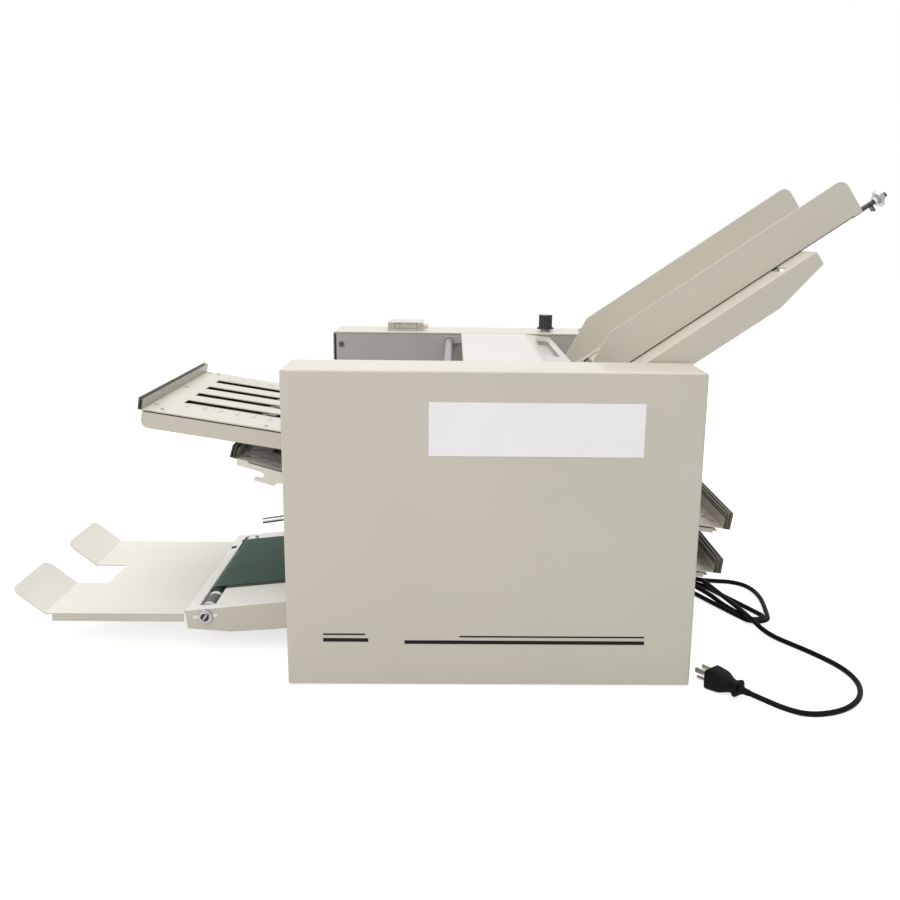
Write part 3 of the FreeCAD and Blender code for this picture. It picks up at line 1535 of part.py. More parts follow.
def build():
    """Every node's shape, by name, before the part is moved onto its floor."""
    nodes = {
        "base_plate": base_plate(), "rubber_feet": rubber_feet(),
        "near_side_frame": near_side_frame(), "far_side_frame": far_side_frame(),
        "near_side_cover": near_side_cover(), "far_side_cover": far_side_cover(),
        "frame_screws": group(cover_screws() + tie_screws()), "label_plate": label_plate(),
        "printed_bars": printed_bars(), "tie_rods": group(tie_rods()), "bearings": bearings(),
        "drive_motor": group([motor(), motor_bracket()]), "motor_pinion": motor_pinion(),
        "timing_belts": timing_belts(), "feed_roller": group([feed_roller(), feed_tyre()]),
        "infeed_guide": infeed_guide(), "feed_table": feed_table(), "separator_pad": separator_pad(),
        "near_paper_guide": guide(guide_near_y, 1), "far_paper_guide": guide(guide_far_y, -1),
        "adjust_rod": adjust_rod(), "adjust_nut": adjust_nut(), "hood": hood(),
        "lower_sheets": lower_sheets(), "plate_end_bars": plate_end_bars(),
        "frame_spacers": group(table_brackets() + plate_studs()),
        "conveyor_frame": conveyor_frame(), "conveyor_belt": conveyor_belt(),
        "idler_shaft": group([idler_shaft()] + tension_screws()), "idler_roller": idler_roller(),
        "drive_roller": drive_roller(), "receiving_tray": receiving_tray(),
        "press_arm": press_arm(), "press_wheels": press_wheels(), "counter_case": counter_case(),
        "counter_window": counter_window(), "counter_wheels": group([digit_wheels(), reset_knob()]),
        "speed_knob": speed_knob(), "switch_bezel": switch_bezel(), "rocker": rocker(),
        "electrics": group([control_board(), transformer()] + potentiometer()),
        "cord_gland": cord_gland(), "plug": plug(),
    }
    pulleys = drive_pulleys()
    for number in range(1, roller_count + 1):
        gears = [roller_gear(number)] + ([pulleys[number]] if number in pulleys else [])
        nodes["fold_roller_%d" % number] = group([fold_roller(number)] + gears)
    for number in plates:
        nodes["fold_plate_%d" % number] = fold_plate(number)
        nodes["stop_%d" % number] = stop_bar(number)
    nodes.update(cord_parts())
    return nodes


cord_names = ["cord_lead", "cord_hank", "cord_run", "plug"]
node_shapes = build()
whole_box = FreeCAD.BoundBox()
for node_name, node_shape in node_shapes.items():
    if node_name not in cord_names:
        whole_box.add(node_shape.optimalBoundingBox(False))
shift = V(-whole_box.Center.x, -whole_box.Center.y, -whole_box.ZMin)

os.makedirs("parts", exist_ok=True)
for node_name, node_shape in node_shapes.items():
    placed_shape = node_shape.copy()
    placed_shape.translate(shift)
    placed_shape.exportStep("parts/%s.step" % node_name)
print("nodes", len(node_shapes), "shift", [round(c, 3) for c in shift])
print("size without the cord", [round(c, 1) for c in (whole_box.XLength, whole_box.YLength,
                                                      whole_box.ZLength)])
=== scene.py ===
# %% [markdown]
# # A desk paper folding machine
# Two folded sheet covers stand on a base plate and hide the gears and the motor. Between them
# lie a hinged hood, a sloping feed table with two paper guides, six fold rollers, four slotted
# fold plates, a belt that carries the folded pages out, and a tray that catches them.
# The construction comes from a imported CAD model. This notebook gives it its finishes, rounds
# its sheet edges, and adds the print, the markings, the cord and the plug.

# %% Load the construction
import json
import math
import bmesh
import bpy
from mathutils import Matrix, Vector

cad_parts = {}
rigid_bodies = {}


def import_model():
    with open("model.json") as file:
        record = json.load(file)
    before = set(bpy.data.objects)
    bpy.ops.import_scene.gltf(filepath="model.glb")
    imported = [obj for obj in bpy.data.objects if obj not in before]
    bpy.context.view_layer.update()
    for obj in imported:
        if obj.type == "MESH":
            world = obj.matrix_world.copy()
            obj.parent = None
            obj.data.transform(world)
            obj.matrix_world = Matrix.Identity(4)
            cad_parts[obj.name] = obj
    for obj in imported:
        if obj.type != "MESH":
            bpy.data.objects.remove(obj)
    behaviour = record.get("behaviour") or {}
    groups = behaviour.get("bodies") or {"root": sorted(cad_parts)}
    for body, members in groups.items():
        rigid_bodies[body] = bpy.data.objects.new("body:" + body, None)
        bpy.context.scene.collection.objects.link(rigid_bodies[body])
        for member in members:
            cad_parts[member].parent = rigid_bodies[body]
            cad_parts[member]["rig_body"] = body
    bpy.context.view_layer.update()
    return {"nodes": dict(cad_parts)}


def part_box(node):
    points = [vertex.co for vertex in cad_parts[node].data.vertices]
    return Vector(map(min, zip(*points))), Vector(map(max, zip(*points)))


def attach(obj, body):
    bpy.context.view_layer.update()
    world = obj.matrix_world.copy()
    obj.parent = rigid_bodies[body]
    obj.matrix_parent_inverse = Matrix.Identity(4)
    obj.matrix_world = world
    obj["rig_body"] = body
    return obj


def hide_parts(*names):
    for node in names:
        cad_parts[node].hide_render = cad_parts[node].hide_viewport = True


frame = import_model()
nodes = frame["nodes"]

# %% [markdown]
# The places below are written in millimetres from the near cover's lower left corner, as on
# the machine's drawing: X to the right, Y to the back and Z up. One small function turns such
# a place into metres in the model's own frame, so that a later change to the frame moves
# everything along.

# %% Places and lengths
millimetre = 0.001
cover_corner, cover_far_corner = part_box("near_side_cover")


def at(x, y, z):
    """A place in metres in the model's frame, from millimetres on the machine."""
    return cover_corner + Vector((x, y, z)) * millimetre


print("near cover", [round(c, 3) for c in cover_far_corner - cover_corner])

# %% [markdown]
# The camera stands where the photographer stood: almost square to the labelled side, a little
# to the left of its middle and a metre in front of it, looking slightly down. A camera has a
# place, three turns and a lens. The shift moves the picture without turning the camera, which
# keeps the upright edges as they are.

# %% Camera
camera_place = at(184.99, -1014.83, 508.07)
camera_yaw = -0.0173
camera_pitch = 0.2166
camera_roll = 0.0124
picture_width = 900.0
focal_length_pixels = 960.0
middle_pixel_x = 468.35
middle_pixel_y = 441.71
sensor_width = 36.0
farthest_seen = 50.0

forward = Vector((-math.sin(camera_yaw) * math.cos(camera_pitch),
                  math.cos(camera_yaw) * math.cos(camera_pitch), -math.sin(camera_pitch)))
level_right = Vector((math.cos(camera_yaw), math.sin(camera_yaw), 0.0))
level_up = level_right.cross(forward)
right = level_right * math.cos(camera_roll) + level_up * math.sin(camera_roll)
up = level_up * math.cos(camera_roll) - level_right * math.sin(camera_roll)

camera_data = bpy.data.cameras.new("camera")
camera_data.sensor_width = sensor_width
camera_data.lens = sensor_width * focal_length_pixels / picture_width
camera_data.shift_x = 0.5 - middle_pixel_x / picture_width
camera_data.shift_y = middle_pixel_y / picture_width - 0.5
camera_data.clip_end = farthest_seen
camera = bpy.data.objects.new("camera", camera_data)
turn = Matrix((right, up, -forward)).transposed().to_4x4()
camera.matrix_world = Matrix.Translation(camera_place) @ turn
bpy.context.scene.collection.objects.link(camera)
bpy.context.scene.camera = camera
print("lens", round(camera_data.lens, 2), "shift", round(camera_data.shift_x, 4),
      round(camera_data.shift_y, 4))

# %% [markdown]
# A product picture on white needs a floor that looks white and still keeps the soft shadow.
# The floor gives out light only towards the camera, by the Light Path node, and adds it to
# its ordinary pale surface. Where the machine takes light away, the sum falls below white.
# The surroundings work in the same way: the camera sees pure white, in mirrors and through
# glass too, while the machine is lit by a weaker white.

# %% Floor and surroundings
floor_half = 12.0
floor_glow = 0.72
surround_strength = 0.50
surround_colour = (1.0, 1.0, 1.0, 1.0)
floor_colour = (0.62, 0.62, 0.62, 1.0)


def seen_by_camera(tree):
    """A socket that is 1 for what is seen straight, mirrored or through glass, and else 0."""
    path = tree.nodes.new("ShaderNodeLightPath")
    socket = path.outputs["Is Camera Ray"]
    for ray in ("Is Glossy Ray", "Is Transmission Ray"):
        larger = tree.nodes.new("ShaderNodeMath")
        larger.operation = "MAXIMUM"
        tree.links.new(socket, larger.inputs[0])
        tree.links.new(path.outputs[ray], larger.inputs[1])
        socket = larger.outputs[0]
    return socket


def floor_material():
    material = bpy.data.materials.new("pale_floor")
    material.use_nodes = True
    tree = material.node_tree
    tree.nodes.clear()
    surface = tree.nodes.new("ShaderNodeBsdfDiffuse")
    surface.inputs["Color"].default_value = floor_colour
    level = tree.nodes.new("ShaderNodeMath")
    level.operation = "MULTIPLY"
    level.inputs[1].default_value = floor_glow
    tree.links.new(seen_by_camera(tree), level.inputs[0])
    glow = tree.nodes.new("ShaderNodeEmission")
    tree.links.new(level.outputs[0], glow.inputs["Strength"])
    add = tree.nodes.new("ShaderNodeAddShader")
    tree.links.new(surface.outputs[0], add.inputs[0])
    tree.links.new(glow.outputs[0], add.inputs[1])
    output = tree.nodes.new("ShaderNodeOutputMaterial")
    tree.links.new(add.outputs[0], output.inputs["Surface"])
    return material


floor_mesh = bpy.data.meshes.new("floor")
corners = [(-floor_half, -floor_half, 0.0), (floor_half, -floor_half, 0.0),
           (floor_half, floor_half, 0.0), (-floor_half, floor_half, 0.0)]
floor_mesh.from_pydata(corners, [], [(0, 1, 2, 3)])
floor = bpy.data.objects.new("floor", floor_mesh)
floor_mesh.materials.append(floor_material())
bpy.context.scene.collection.objects.link(floor)

world = bpy.data.worlds.new("white_room")
bpy.context.scene.world = world
world.use_nodes = True
room = world.node_tree
sky = room.nodes["Background"]
sky.inputs["Color"].default_value = surround_colour
choose = room.nodes.new("ShaderNodeMapRange")
choose.inputs["To Min"].default_value = surround_strength
choose.inputs["To Max"].default_value = 1.0
room.links.new(seen_by_camera(room), choose.inputs["Value"])
room.links.new(choose.outputs["Result"], sky.inputs["Strength"])
print("floor side", 2 * floor_half, "surroundings", surround_strength)

# %% [markdown]
# The tops are almost white and the upright faces a clear step darker, so most of the light
# comes from a large lamp overhead. A weaker, warmer one beside the camera keeps the labelled
# side readable, and one at the back draws a thin bright line on the upper edges.
# Each lamp's place is written in metres from the machine's middle, at which it is aimed.

# %% Lamps
machine_middle = at(230.0, 230.0, 220.0)
plain_white = (1.0, 1.0, 1.0)
warm_white = (1.0, 0.96, 0.88)
lamp_table = [("overhead", (-0.2, 0.1, 1.9), (2.8, 2.2), 33.0, plain_white),
              ("front_left", (-0.8, -2.35, 1.6), (1.6, 1.4), 23.0, warm_white),
              ("back_right", (1.6, 1.9, 1.4), (1.2, 1.2), 5.0, plain_white)]


def softbox(name, away, size, watts, colour):
    data = bpy.data.lights.new(name, "AREA")
    data.color = colour
    data.shape = "RECTANGLE"
    data.size, data.size_y = size
    data.energy = watts
    lamp = bpy.data.objects.new(name, data)
    lamp.location = machine_middle + Vector(away)
    lamp.rotation_euler = (-Vector(away)).to_track_quat("-Z", "Y").to_euler()
    bpy.context.scene.collection.objects.link(lamp)
    return lamp


lamps = [softbox(*row) for row in lamp_table]
bpy.context.scene.view_settings.view_transform = "Standard"
print("lamps", len(lamps))

# %% [markdown]
# Every finish starts from one recipe. A shader gets its colour, roughness and metal look on
# its own sockets. Noise then shades the colour a little, changes the roughness from place to
# place, and raises a fine grain, because a real surface is never one flat colour.
# The grain is measured in metres on the piece itself, so it has the same size everywhere.

# %% The recipe for a finish
cloud_detail = 4.0
grain_detail = 3.0
grain_depth = 0.25
ramp_ends = (0.3, 0.7)
light_share = 0.5
smoothest = 0.02


def finish(name, colour, roughness, metallic=0.0, shade=0.06, shade_size=0.06, grain=0.0,
           grain_size=0.0008, stretch=(1.0, 1.0, 1.0), rough_spread=0.06, coat=0.0, specular=0.5):
    material = bpy.data.materials.new(name)
    material.use_nodes = True
    tree = material.node_tree
    shader = tree.nodes["Principled BSDF"]
    shader.inputs["Metallic"].default_value = metallic
    shader.inputs["Coat Weight"].default_value = coat
    shader.inputs["Specular IOR Level"].default_value = specular
    place = tree.nodes.new("ShaderNodeTexCoord")
    scale = tree.nodes.new("ShaderNodeMapping")
    scale.inputs["Scale"].default_value = stretch
    tree.links.new(place.outputs["Object"], scale.inputs["Vector"])
    cloud = tree.nodes.new("ShaderNodeTexNoise")
    cloud.inputs["Scale"].default_value = 1.0 / shade_size
    cloud.inputs["Detail"].default_value = cloud_detail
    tree.links.new(scale.outputs[0], cloud.inputs["Vector"])
    ramp = tree.nodes.new("ShaderNodeValToRGB")
    dark, light = ramp.color_ramp.elements
    dark.position, light.position = ramp_ends
    dark.color = [c * (1.0 - shade) for c in colour] + [1.0]
    light.color = [min(1.0, c * (1.0 + shade * light_share)) for c in colour] + [1.0]
    tree.links.new(cloud.outputs["Fac"], ramp.inputs["Fac"])
    tree.links.new(ramp.outputs["Color"], shader.inputs["Base Color"])
    spread = tree.nodes.new("ShaderNodeMapRange")
    spread.inputs["To Min"].default_value = max(smoothest, roughness - rough_spread)
    spread.inputs["To Max"].default_value = roughness + rough_spread
    tree.links.new(cloud.outputs["Fac"], spread.inputs["Value"])
    tree.links.new(spread.outputs["Result"], shader.inputs["Roughness"])
    if grain:
        fine = tree.nodes.new("ShaderNodeTexNoise")
        fine.inputs["Scale"].default_value = 1.0 / grain_size
        fine.inputs["Detail"].default_value = grain_detail
        bump = tree.nodes.new("ShaderNodeBump")
        bump.inputs["Strength"].default_value = grain
        bump.inputs["Distance"].default_value = grain_size * grain_depth
        tree.links.new(scale.outputs[0], fine.inputs["Vector"])
        tree.links.new(fine.outputs["Fac"], bump.inputs["Height"])
        tree.links.new(bump.outputs["Normal"], shader.inputs["Normal"])
    return material


def paint_node(material, names):
    """Give CAD nodes a finish by filling their material slots."""
    for name in names:
        thing = nodes[name]
        if not thing.material_slots:
            thing.data.materials.append(material)
        for place in thing.material_slots:
            place.material = material


print("recipe ready, colour ramp from", *ramp_ends)

# %% [markdown]
# The cord leaves the far cover at its lower right corner, drops to the floor, is folded into
# a flat hank of two turns beside the machine, and runs on round the corner to its plug. It is
# one smooth curve. Its points are the corners of the way that a hand would lay it.
# The hank's bends come from a formula: points on a slightly larger circle, whose sides touch
# the bend, so that the curve itself has the wanted radius.

# %% The cord's way
cord_diameter = 6.4
cord_radius = cord_diameter / 2
floor_drop = 4.0
cord_z = cord_radius - floor_drop
crossing_lift = 1.1
upper_z = cord_z + cord_diameter * crossing_lift
cord_exit = (486.0, 430.0, 25.0)
lead_points = [cord_exit, (507.0, 430.0, 24.4), (527.0, 420.0, 20.0), (538.6, 401.0, 13.0),
               (540.0, 379.5, 5.0), (545.0, 359.0, cord_z), (561.0, 344.5, cord_z),
               (582.0, 340.5, cord_z), (603.0, 338.0, cord_z), (619.5, 325.5, cord_z),
               (627.0, 305.0, cord_z), (628.5, 282.0, cord_z), (626.5, 257.0, cord_z)]
run_points = [(587.0, 178.5, 5.9), (593.5, 159.5, 1.6), (602.5, 140.5, cord_z),
              (615.0, 121.0, cord_z), (629.0, 101.0, cord_z), (642.0, 79.5, cord_z),
              (653.5, 57.0, cord_z), (660.0, 33.0, cord_z), (660.0, 8.0, cord_z),
              (653.0, -15.5, cord_z), (640.0, -36.5, cord_z), (620.5, -54.0, cord_z),
              (597.0, -64.0, cord_z), (573.0, -66.0, cord_z), (550.5, -60.8, 3.0),
              (530.3, -49.8, 8.0)]
plug_rear = (518.0, -34.0, 8.0)

hank_middle = (597.7, 208.4)
hank_angle = math.radians(-64.5)
hank_run = 120.0
hank_lean = 14.04
hank_entry = 55.5
outer_radius, outer_far_radius = 19.5, 16.0
inner_radius, inner_far_radius = 12.5, 13.0
rise_over = ((0.2, 0.0), (0.4, 0.2), (0.6, 0.8), (0.8, 1.0))
hank_exit = ((-30.0, -8.65), (-5.0, -14.9))
points_per_bend = 7
section_steps = 6
steps_between_points = 8
curve_order = 3


def hank_point(along, across, z):
    """A place in the hank, whose own axes run along and across its turns."""
    x = hank_middle[0] + along * math.cos(hank_angle) - across * math.sin(hank_angle)
    y = hank_middle[1] + along * math.sin(hank_angle) + across * math.cos(hank_angle)
    return (x, y, z)


def bend(along, across, radius, start, end, z):
    """Points of a bend about a middle, from one angle to another."""
    step = math.radians(end - start) / points_per_bend
    reach = radius / math.cos(step / 2)
    points = []
    for n in range(points_per_bend):
        angle = math.radians(start) + step * (n + 0.5)
        points.append(hank_point(along + reach * math.cos(angle),
                                 across + reach * math.sin(angle), z))
    return points


def hank_points():
    """Two turns: the outer one on the floor, then the inner one, which rises over the first."""
    points = bend(0, 0, outer_radius, hank_entry, -90, cord_z)
    points += bend(-hank_run, outer_far_radius - outer_radius, outer_far_radius, -90, -270, cord_z)
    points += bend(0, 0, inner_radius, 90, -90, cord_z)
    for share, lift in rise_over:
        points.append(hank_point(-hank_run * share, -inner_radius,
                                 cord_z + (upper_z - cord_z) * lift))
    points += bend(-hank_run, inner_far_radius - inner_radius, inner_far_radius,
                   -90, -270 - hank_lean, upper_z)
    return points + [hank_point(along, across, upper_z) for along, across in hank_exit]


def cord_curve(points, radius):
    """One smooth curve with a round section, from places in millimetres."""
    data = bpy.data.curves.new("mains_cord", "CURVE")
    data.dimensions = "3D"
    data.bevel_depth = radius * millimetre
    data.bevel_resolution = section_steps
    data.resolution_u = steps_between_points
    data.use_fill_caps = True
    spline = data.splines.new("NURBS")
    spline.points.add(len(points) - 1)
    for point, place in zip(spline.points, points):
        point.co = (*at(*place), 1.0)
    spline.order_u = curve_order
    spline.use_endpoint_u = True
    piece = bpy.data.objects.new("mains_cord", data)
    bpy.context.scene.collection.objects.link(piece)
    return piece


cord_sheath = finish("cord_sheath", (0.004, 0.004, 0.0045), 0.6, grain=0.12, grain_size=0.0012,
                     shade=0.2, shade_size=0.03, specular=0.1)
cord = cord_curve(lead_points + hank_points() + run_points + [plug_rear], cord_radius)
cord.data.materials.append(cord_sheath)
print("cord points", len(cord.data.splines[0].points))

# %% [markdown]
# The plug is a moulded rubber body with two flat blades and a round earth pin. A moulded part
# has no sharp edge, so its body is lofted: a rounded rectangle is drawn at several stations
# along the plug, a little smaller at each end, and neighbouring rectangles are joined.
# The collar that grips the cord and the flared ring before the waist are stations too.

# %% Plug
plug_heading = math.radians(128.0)
plug_smooth_angle = math.radians(50.0)
corner_points = 6


def rounded_rectangle(width, height, radius):
    """The outline's points, a quarter turn at each of the four corners."""
    points = []
    for quarter, (sy, sz) in enumerate(((1, 1), (-1, 1), (-1, -1), (1, -1))):
        for n in range(corner_points):
            angle = math.pi / 2 * (quarter + n / (corner_points - 1))
            points.append((sy * (width / 2 - radius) + radius * math.cos(angle),
                           sz * (height / 2 - radius) + radius * math.sin(angle)))
    return points


def loft(name, stations):
    """Join rounded rectangles (u, width, height, radius) along u into one closed skin."""
    edit = bmesh.new()
    rings = []
    for u, width, height, radius in stations:
        ring = [edit.verts.new((u, v, w)) for v, w in rounded_rectangle(width, height, radius)]
        rings.append(ring)
    for first, second in zip(rings, rings[1:]):
        for n in range(len(first)):
            m = (n + 1) % len(first)
            edit.faces.new((first[n], first[m], second[m], second[n]))
    edit.faces.new(rings[0])
    edit.faces.new(list(reversed(rings[-1])))
    bmesh.ops.recalc_face_normals(edit, faces=edit.faces)
    mesh = bpy.data.meshes.new(name)
    edit.to_mesh(mesh)
    edit.free()
    mesh.shade_smooth()
    mesh.set_sharp_from_angle(angle=plug_smooth_angle)
    piece = bpy.data.objects.new(name, mesh)
    bpy.context.scene.collection.objects.link(piece)
    return piece


def on_plug(piece):
    """Move a piece drawn in millimetres along the plug's own axis to its place."""
    turn = Matrix.Rotation(plug_heading, 4, "Z")
    piece.data.transform(Matrix.Translation(at(*plug_rear)) @ turn @ Matrix.Scale(millimetre, 4))
    return piece


neck_stations = [(-1.5, 6.9, 6.9, 3.4), (0.0, 7.4, 7.4, 3.6), (7.0, 8.0, 8.0, 3.8),
                 (8.0, 10.4, 10.4, 5.0), (10.6, 11.4, 11.2, 5.4), (11.4, 11.0, 10.8, 5.2),
                 (12.0, 9.6, 9.6, 4.6)]
body_stations = [(11.6, 14.0, 12.5, 5.0), (12.0, 19.0, 15.5, 5.0), (13.2, 21.0, 17.0, 5.0),
                 (15.4, 20.6, 16.8, 5.0), (17.0, 17.4, 15.2, 5.5), (20.0, 16.0, 14.6, 6.0),
                 (24.0, 17.2, 15.8, 6.2), (28.0, 21.0, 18.6, 6.4), (32.0, 24.4, 21.2, 6.4),
                 (36.0, 25.8, 22.6, 6.0), (43.0, 26.6, 23.4, 5.4), (48.5, 26.8, 23.8, 4.8),
                 (50.6, 26.2, 23.4, 4.4), (51.6, 25.0, 22.2, 4.0), (52.0, 23.4, 20.6, 3.6)]
blade_stations = [(48.0, 1.5, 6.3, 0.3), (67.6, 1.5, 6.3, 0.3), (69.0, 0.8, 5.2, 0.2)]
pin_stations = [(48.0, 4.8, 4.8, 2.35), (68.6, 4.8, 4.8, 2.35), (70.0, 3.6, 3.6, 1.7),
                (70.5, 1.8, 1.8, 0.8)]
blade_offsets = ((0.0, -6.35, 4.0), (0.0, 6.35, 4.0))
pin_offset = (0.0, 0.0, -7.5)
plug_body = on_plug(loft("plug_body", body_stations))
plug_neck = on_plug(loft("plug_neck", neck_stations))
blade_finish = finish("blade_steel", (0.62, 0.60, 0.55), 0.28, metallic=1.0, shade=0.08,
                      shade_size=0.004, stretch=(1.0, 1.0, 6.0))
blades = []
for offset in blade_offsets:
    blade = loft("plug_blade", blade_stations)
    blade.data.transform(Matrix.Translation(offset))
    blades.append(on_plug(blade))
pin = loft("plug_pin", pin_stations)
pin.data.transform(Matrix.Translation(pin_offset))
blades.append(on_plug(pin))
for piece in (plug_body, plug_neck):
    piece.data.materials.append(cord_sheath)
    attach(piece, "machine")
for blade in blades:
    blade.data.materials.append(blade_finish)
    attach(blade, "machine")
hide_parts("plug")
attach(cord, "machine")
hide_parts("cord_lead", "cord_hank", "cord_run")
print("plug pieces", 2 + len(blades))

# %% [markdown]
# The covers, the table, the guides and the plates are sheet steel, cut, folded and sprayed
# with a satin powder paint. Powder paint melts into a skin with a faint orange peel, so it
# gets a soft bump a millimetre or two across and a roughness of about one third.
# The values that all powder paints share are kept in one table.
# The label is a plain pale film, and the bars below it are black screen print.

# %% Finishes of the sheet metal
powder = {"shade": 0.03, "shade_size": 0.12, "grain": 0.08, "grain_size": 0.0016, "coat": 0.12}
cover_paint = finish("cover_paint", (0.60, 0.575, 0.50), 0.36, **(powder | {"shade_size": 0.16}))
cream_paint = finish("cream_paint", (0.74, 0.715, 0.65), 0.36, **powder)
frame_paint = finish("frame_paint", (0.43, 0.42, 0.41), 0.42, shade=0.05, shade_size=0.08,
                     grain=0.15, grain_size=0.001)
base_zinc = finish("base_zinc", (0.55, 0.56, 0.57), 0.4, metallic=0.9, shade=0.15, shade_size=0.02)
label_film = finish("label_film", (0.92, 0.92, 0.96), 0.3, shade=0.02, shade_size=0.05, coat=0.3)
screen_ink = finish("screen_ink", (0.008, 0.008, 0.010), 0.6, specular=0.15, shade=0.1,
                    shade_size=0.02, grain=0.1, grain_size=0.0006)
print("materials so far", len(bpy.data.materials))

# %% [markdown]
# Turned and drawn metal shows fine lines that follow how it was made. Stretching the noise
# along one axis gives such lines: a roller is turned, so its lines run round it, which means
# that the noise is squeezed along the roller. Drawn bars have theirs along their length.
# Some paints belong here too: they were matched to the metal beside them by their tone.
# Some of them paint light and shade: the pale creams paint light on tops and edges, the
# third plate's mottled metal a sheen, and the darker hood paints shade on its slope and recess.

# %% Finishes of the bare metal
roller_steel = finish("roller_steel", (0.56, 0.57, 0.58), 0.3, metallic=1.0, shade=0.12,
                      shade_size=0.01, grain=0.12, grain_size=0.0006, stretch=(0.3, 6.0, 0.3))
bar_chrome = finish("bar_chrome", (0.42, 0.42, 0.43), 0.18, metallic=1.0, shade=0.05,
                    shade_size=0.02, rough_spread=0.05)
screw_steel = finish("screw_steel", (0.30, 0.30, 0.30), 0.34, metallic=1.0, shade=0.2,
                     shade_size=0.004)
bearing_bronze = finish("bearing_bronze", (0.55, 0.40, 0.22), 0.35, metallic=1.0, shade=0.15,
                        shade_size=0.006)
end_bar_metal = finish("end_bar_metal", (0.075, 0.07, 0.055), 0.4, metallic=0.5, shade=0.2,
                       shade_size=0.01, grain=0.1, grain_size=0.0006, stretch=(4.0, 0.15, 4.0))
spun_aluminium = finish("spun_aluminium", (0.70, 0.70, 0.70), 0.34, metallic=1.0, shade=0.1,
                        shade_size=0.008, grain=0.1, grain_size=0.0005, stretch=(0.3, 5.0, 0.3))
bar_face_metal = finish("bar_face_metal", (0.44, 0.42, 0.36), 0.36, metallic=0.3, shade=0.08,
                        shade_size=0.02)
# Painted sheen: a light base and strong mottles stand for the light and reflection streaks on the
# third plate's shaded top, on top of the metal's own mottle.
mottled_metal_painted_sheen = finish("mottled_metal_painted_sheen", (0.86, 0.84, 0.78), 0.34, metallic=0.2, shade=0.65,
                     shade_size=0.01, stretch=(0.8, 1.6, 0.8))
# Painted light: the palest cream, on the conveyor's top, its end strip and the tension sliders.
pale_cream_painted_light = finish("pale_cream_painted_light", (0.92, 0.91, 0.86), 0.34, shade=0.02, shade_size=0.05)
# Painted light: a lighter cream on the tray's top, which plate one shades.
tray_top_painted_light = finish("tray_top_painted_light", (0.84, 0.82, 0.755), 0.36, **powder)
# Painted shade: a darker paint for the hood's recess.
recess_painted_shade = finish("recess_painted_shade", (0.36, 0.35, 0.32), 0.4, shade=0.05, shade_size=0.03)
rod_steel = finish("rod_steel", (0.27, 0.27, 0.275), 0.3, metallic=1.0, shade=0.08, shade_size=0.02)
hood_paint = finish("hood_paint", (0.62, 0.60, 0.55), 0.36, **powder)
# Painted shade: a darker paint for the hood's sloping faces.
slope_painted_shade = finish("slope_painted_shade", (0.49, 0.475, 0.43), 0.36,
                   **(powder | {"shade": 0.05, "shade_size": 0.03}))
stop_metal = finish("stop_metal", (0.12, 0.118, 0.11), 0.4, metallic=0.6, shade=0.2,
                    shade_size=0.006)
print("materials so far", len(bpy.data.materials))

# %% [markdown]
# Rubber is dull and coarse, so it has a high roughness and a strong grain. Moulded plastic is
# smoother and takes a soft highlight. The belt is woven and coated, and worn unevenly, which
# wide clouds of a darker green show. Ink is a thin layer with hardly any shine.

# %% Finishes of rubber and plastic
black_rubber = finish("black_rubber", (0.018, 0.018, 0.018), 0.62, grain=0.3, grain_size=0.0007,
                      shade=0.3, shade_size=0.01)
tyre_rubber = finish("tyre_rubber", (0.09, 0.085, 0.08), 0.7, grain=0.5, grain_size=0.0008,
                     shade=0.3, shade_size=0.008)
belt_rubber = finish("belt_rubber", (0.030, 0.082, 0.050), 0.6, specular=0.25, grain=0.3,
                     grain_size=0.0009, shade=0.25, shade_size=0.035)
black_plastic = finish("black_plastic", (0.034, 0.034, 0.036), 0.36, grain=0.15, grain_size=0.0006,
                       shade=0.2, shade_size=0.01)
switch_plastic = finish("switch_plastic", (0.012, 0.012, 0.013), 0.18, shade=0.15, shade_size=0.008)
wheel_plastic = finish("wheel_plastic", (0.75, 0.74, 0.70), 0.4, shade=0.06, shade_size=0.004)
counter_plastic = finish("counter_plastic", (0.50, 0.465, 0.40), 0.22, shade=0.05,
                         shade_size=0.01, coat=0.4)
board_lacquer = finish("board_lacquer", (0.02, 0.13, 0.06), 0.35, shade=0.3, shade_size=0.004,
                       grain=0.3, grain_size=0.0012)
motor_enamel = finish("motor_enamel", (0.03, 0.03, 0.035), 0.42, grain=0.3, grain_size=0.001,
                      shade=0.2, shade_size=0.02)
scale_ink = finish("scale_ink", (0.20, 0.24, 0.42), 0.5, shade=0.25, shade_size=0.003)
digit_ink = finish("digit_ink", (0.38, 0.035, 0.025), 0.5, shade=0.15, shade_size=0.002)
print("materials so far", len(bpy.data.materials))

# %% [markdown]
# A counter's window is clear plastic. Glass in a shader bends light and is slow and noisy in
# a small thin pane, so a weak mix of clear and glossy is used: mostly see-through, with the
# lamps' reflection on top, as the shader's own Fresnel term gives it. The other nodes of the
# model get their finishes here as well.

# %% Clear window
window_roughness = 0.08
window_alpha = 0.22
tint_scale = 120.0


def clear_window():
    material = bpy.data.materials.new("clear_window")
    material.use_nodes = True
    tree = material.node_tree
    shader = tree.nodes["Principled BSDF"]
    shader.inputs["Roughness"].default_value = window_roughness
    shader.inputs["Alpha"].default_value = window_alpha
    tint = tree.nodes.new("ShaderNodeTexNoise")
    tint.inputs["Scale"].default_value = tint_scale
    ramp = tree.nodes.new("ShaderNodeValToRGB")
    ramp.color_ramp.elements[0].color = (0.80, 0.80, 0.78, 1.0)
    ramp.color_ramp.elements[1].color = (0.90, 0.90, 0.90, 1.0)
    tree.links.new(tint.outputs["Fac"], ramp.inputs["Fac"])
    tree.links.new(ramp.outputs["Color"], shader.inputs["Base Color"])
    return material


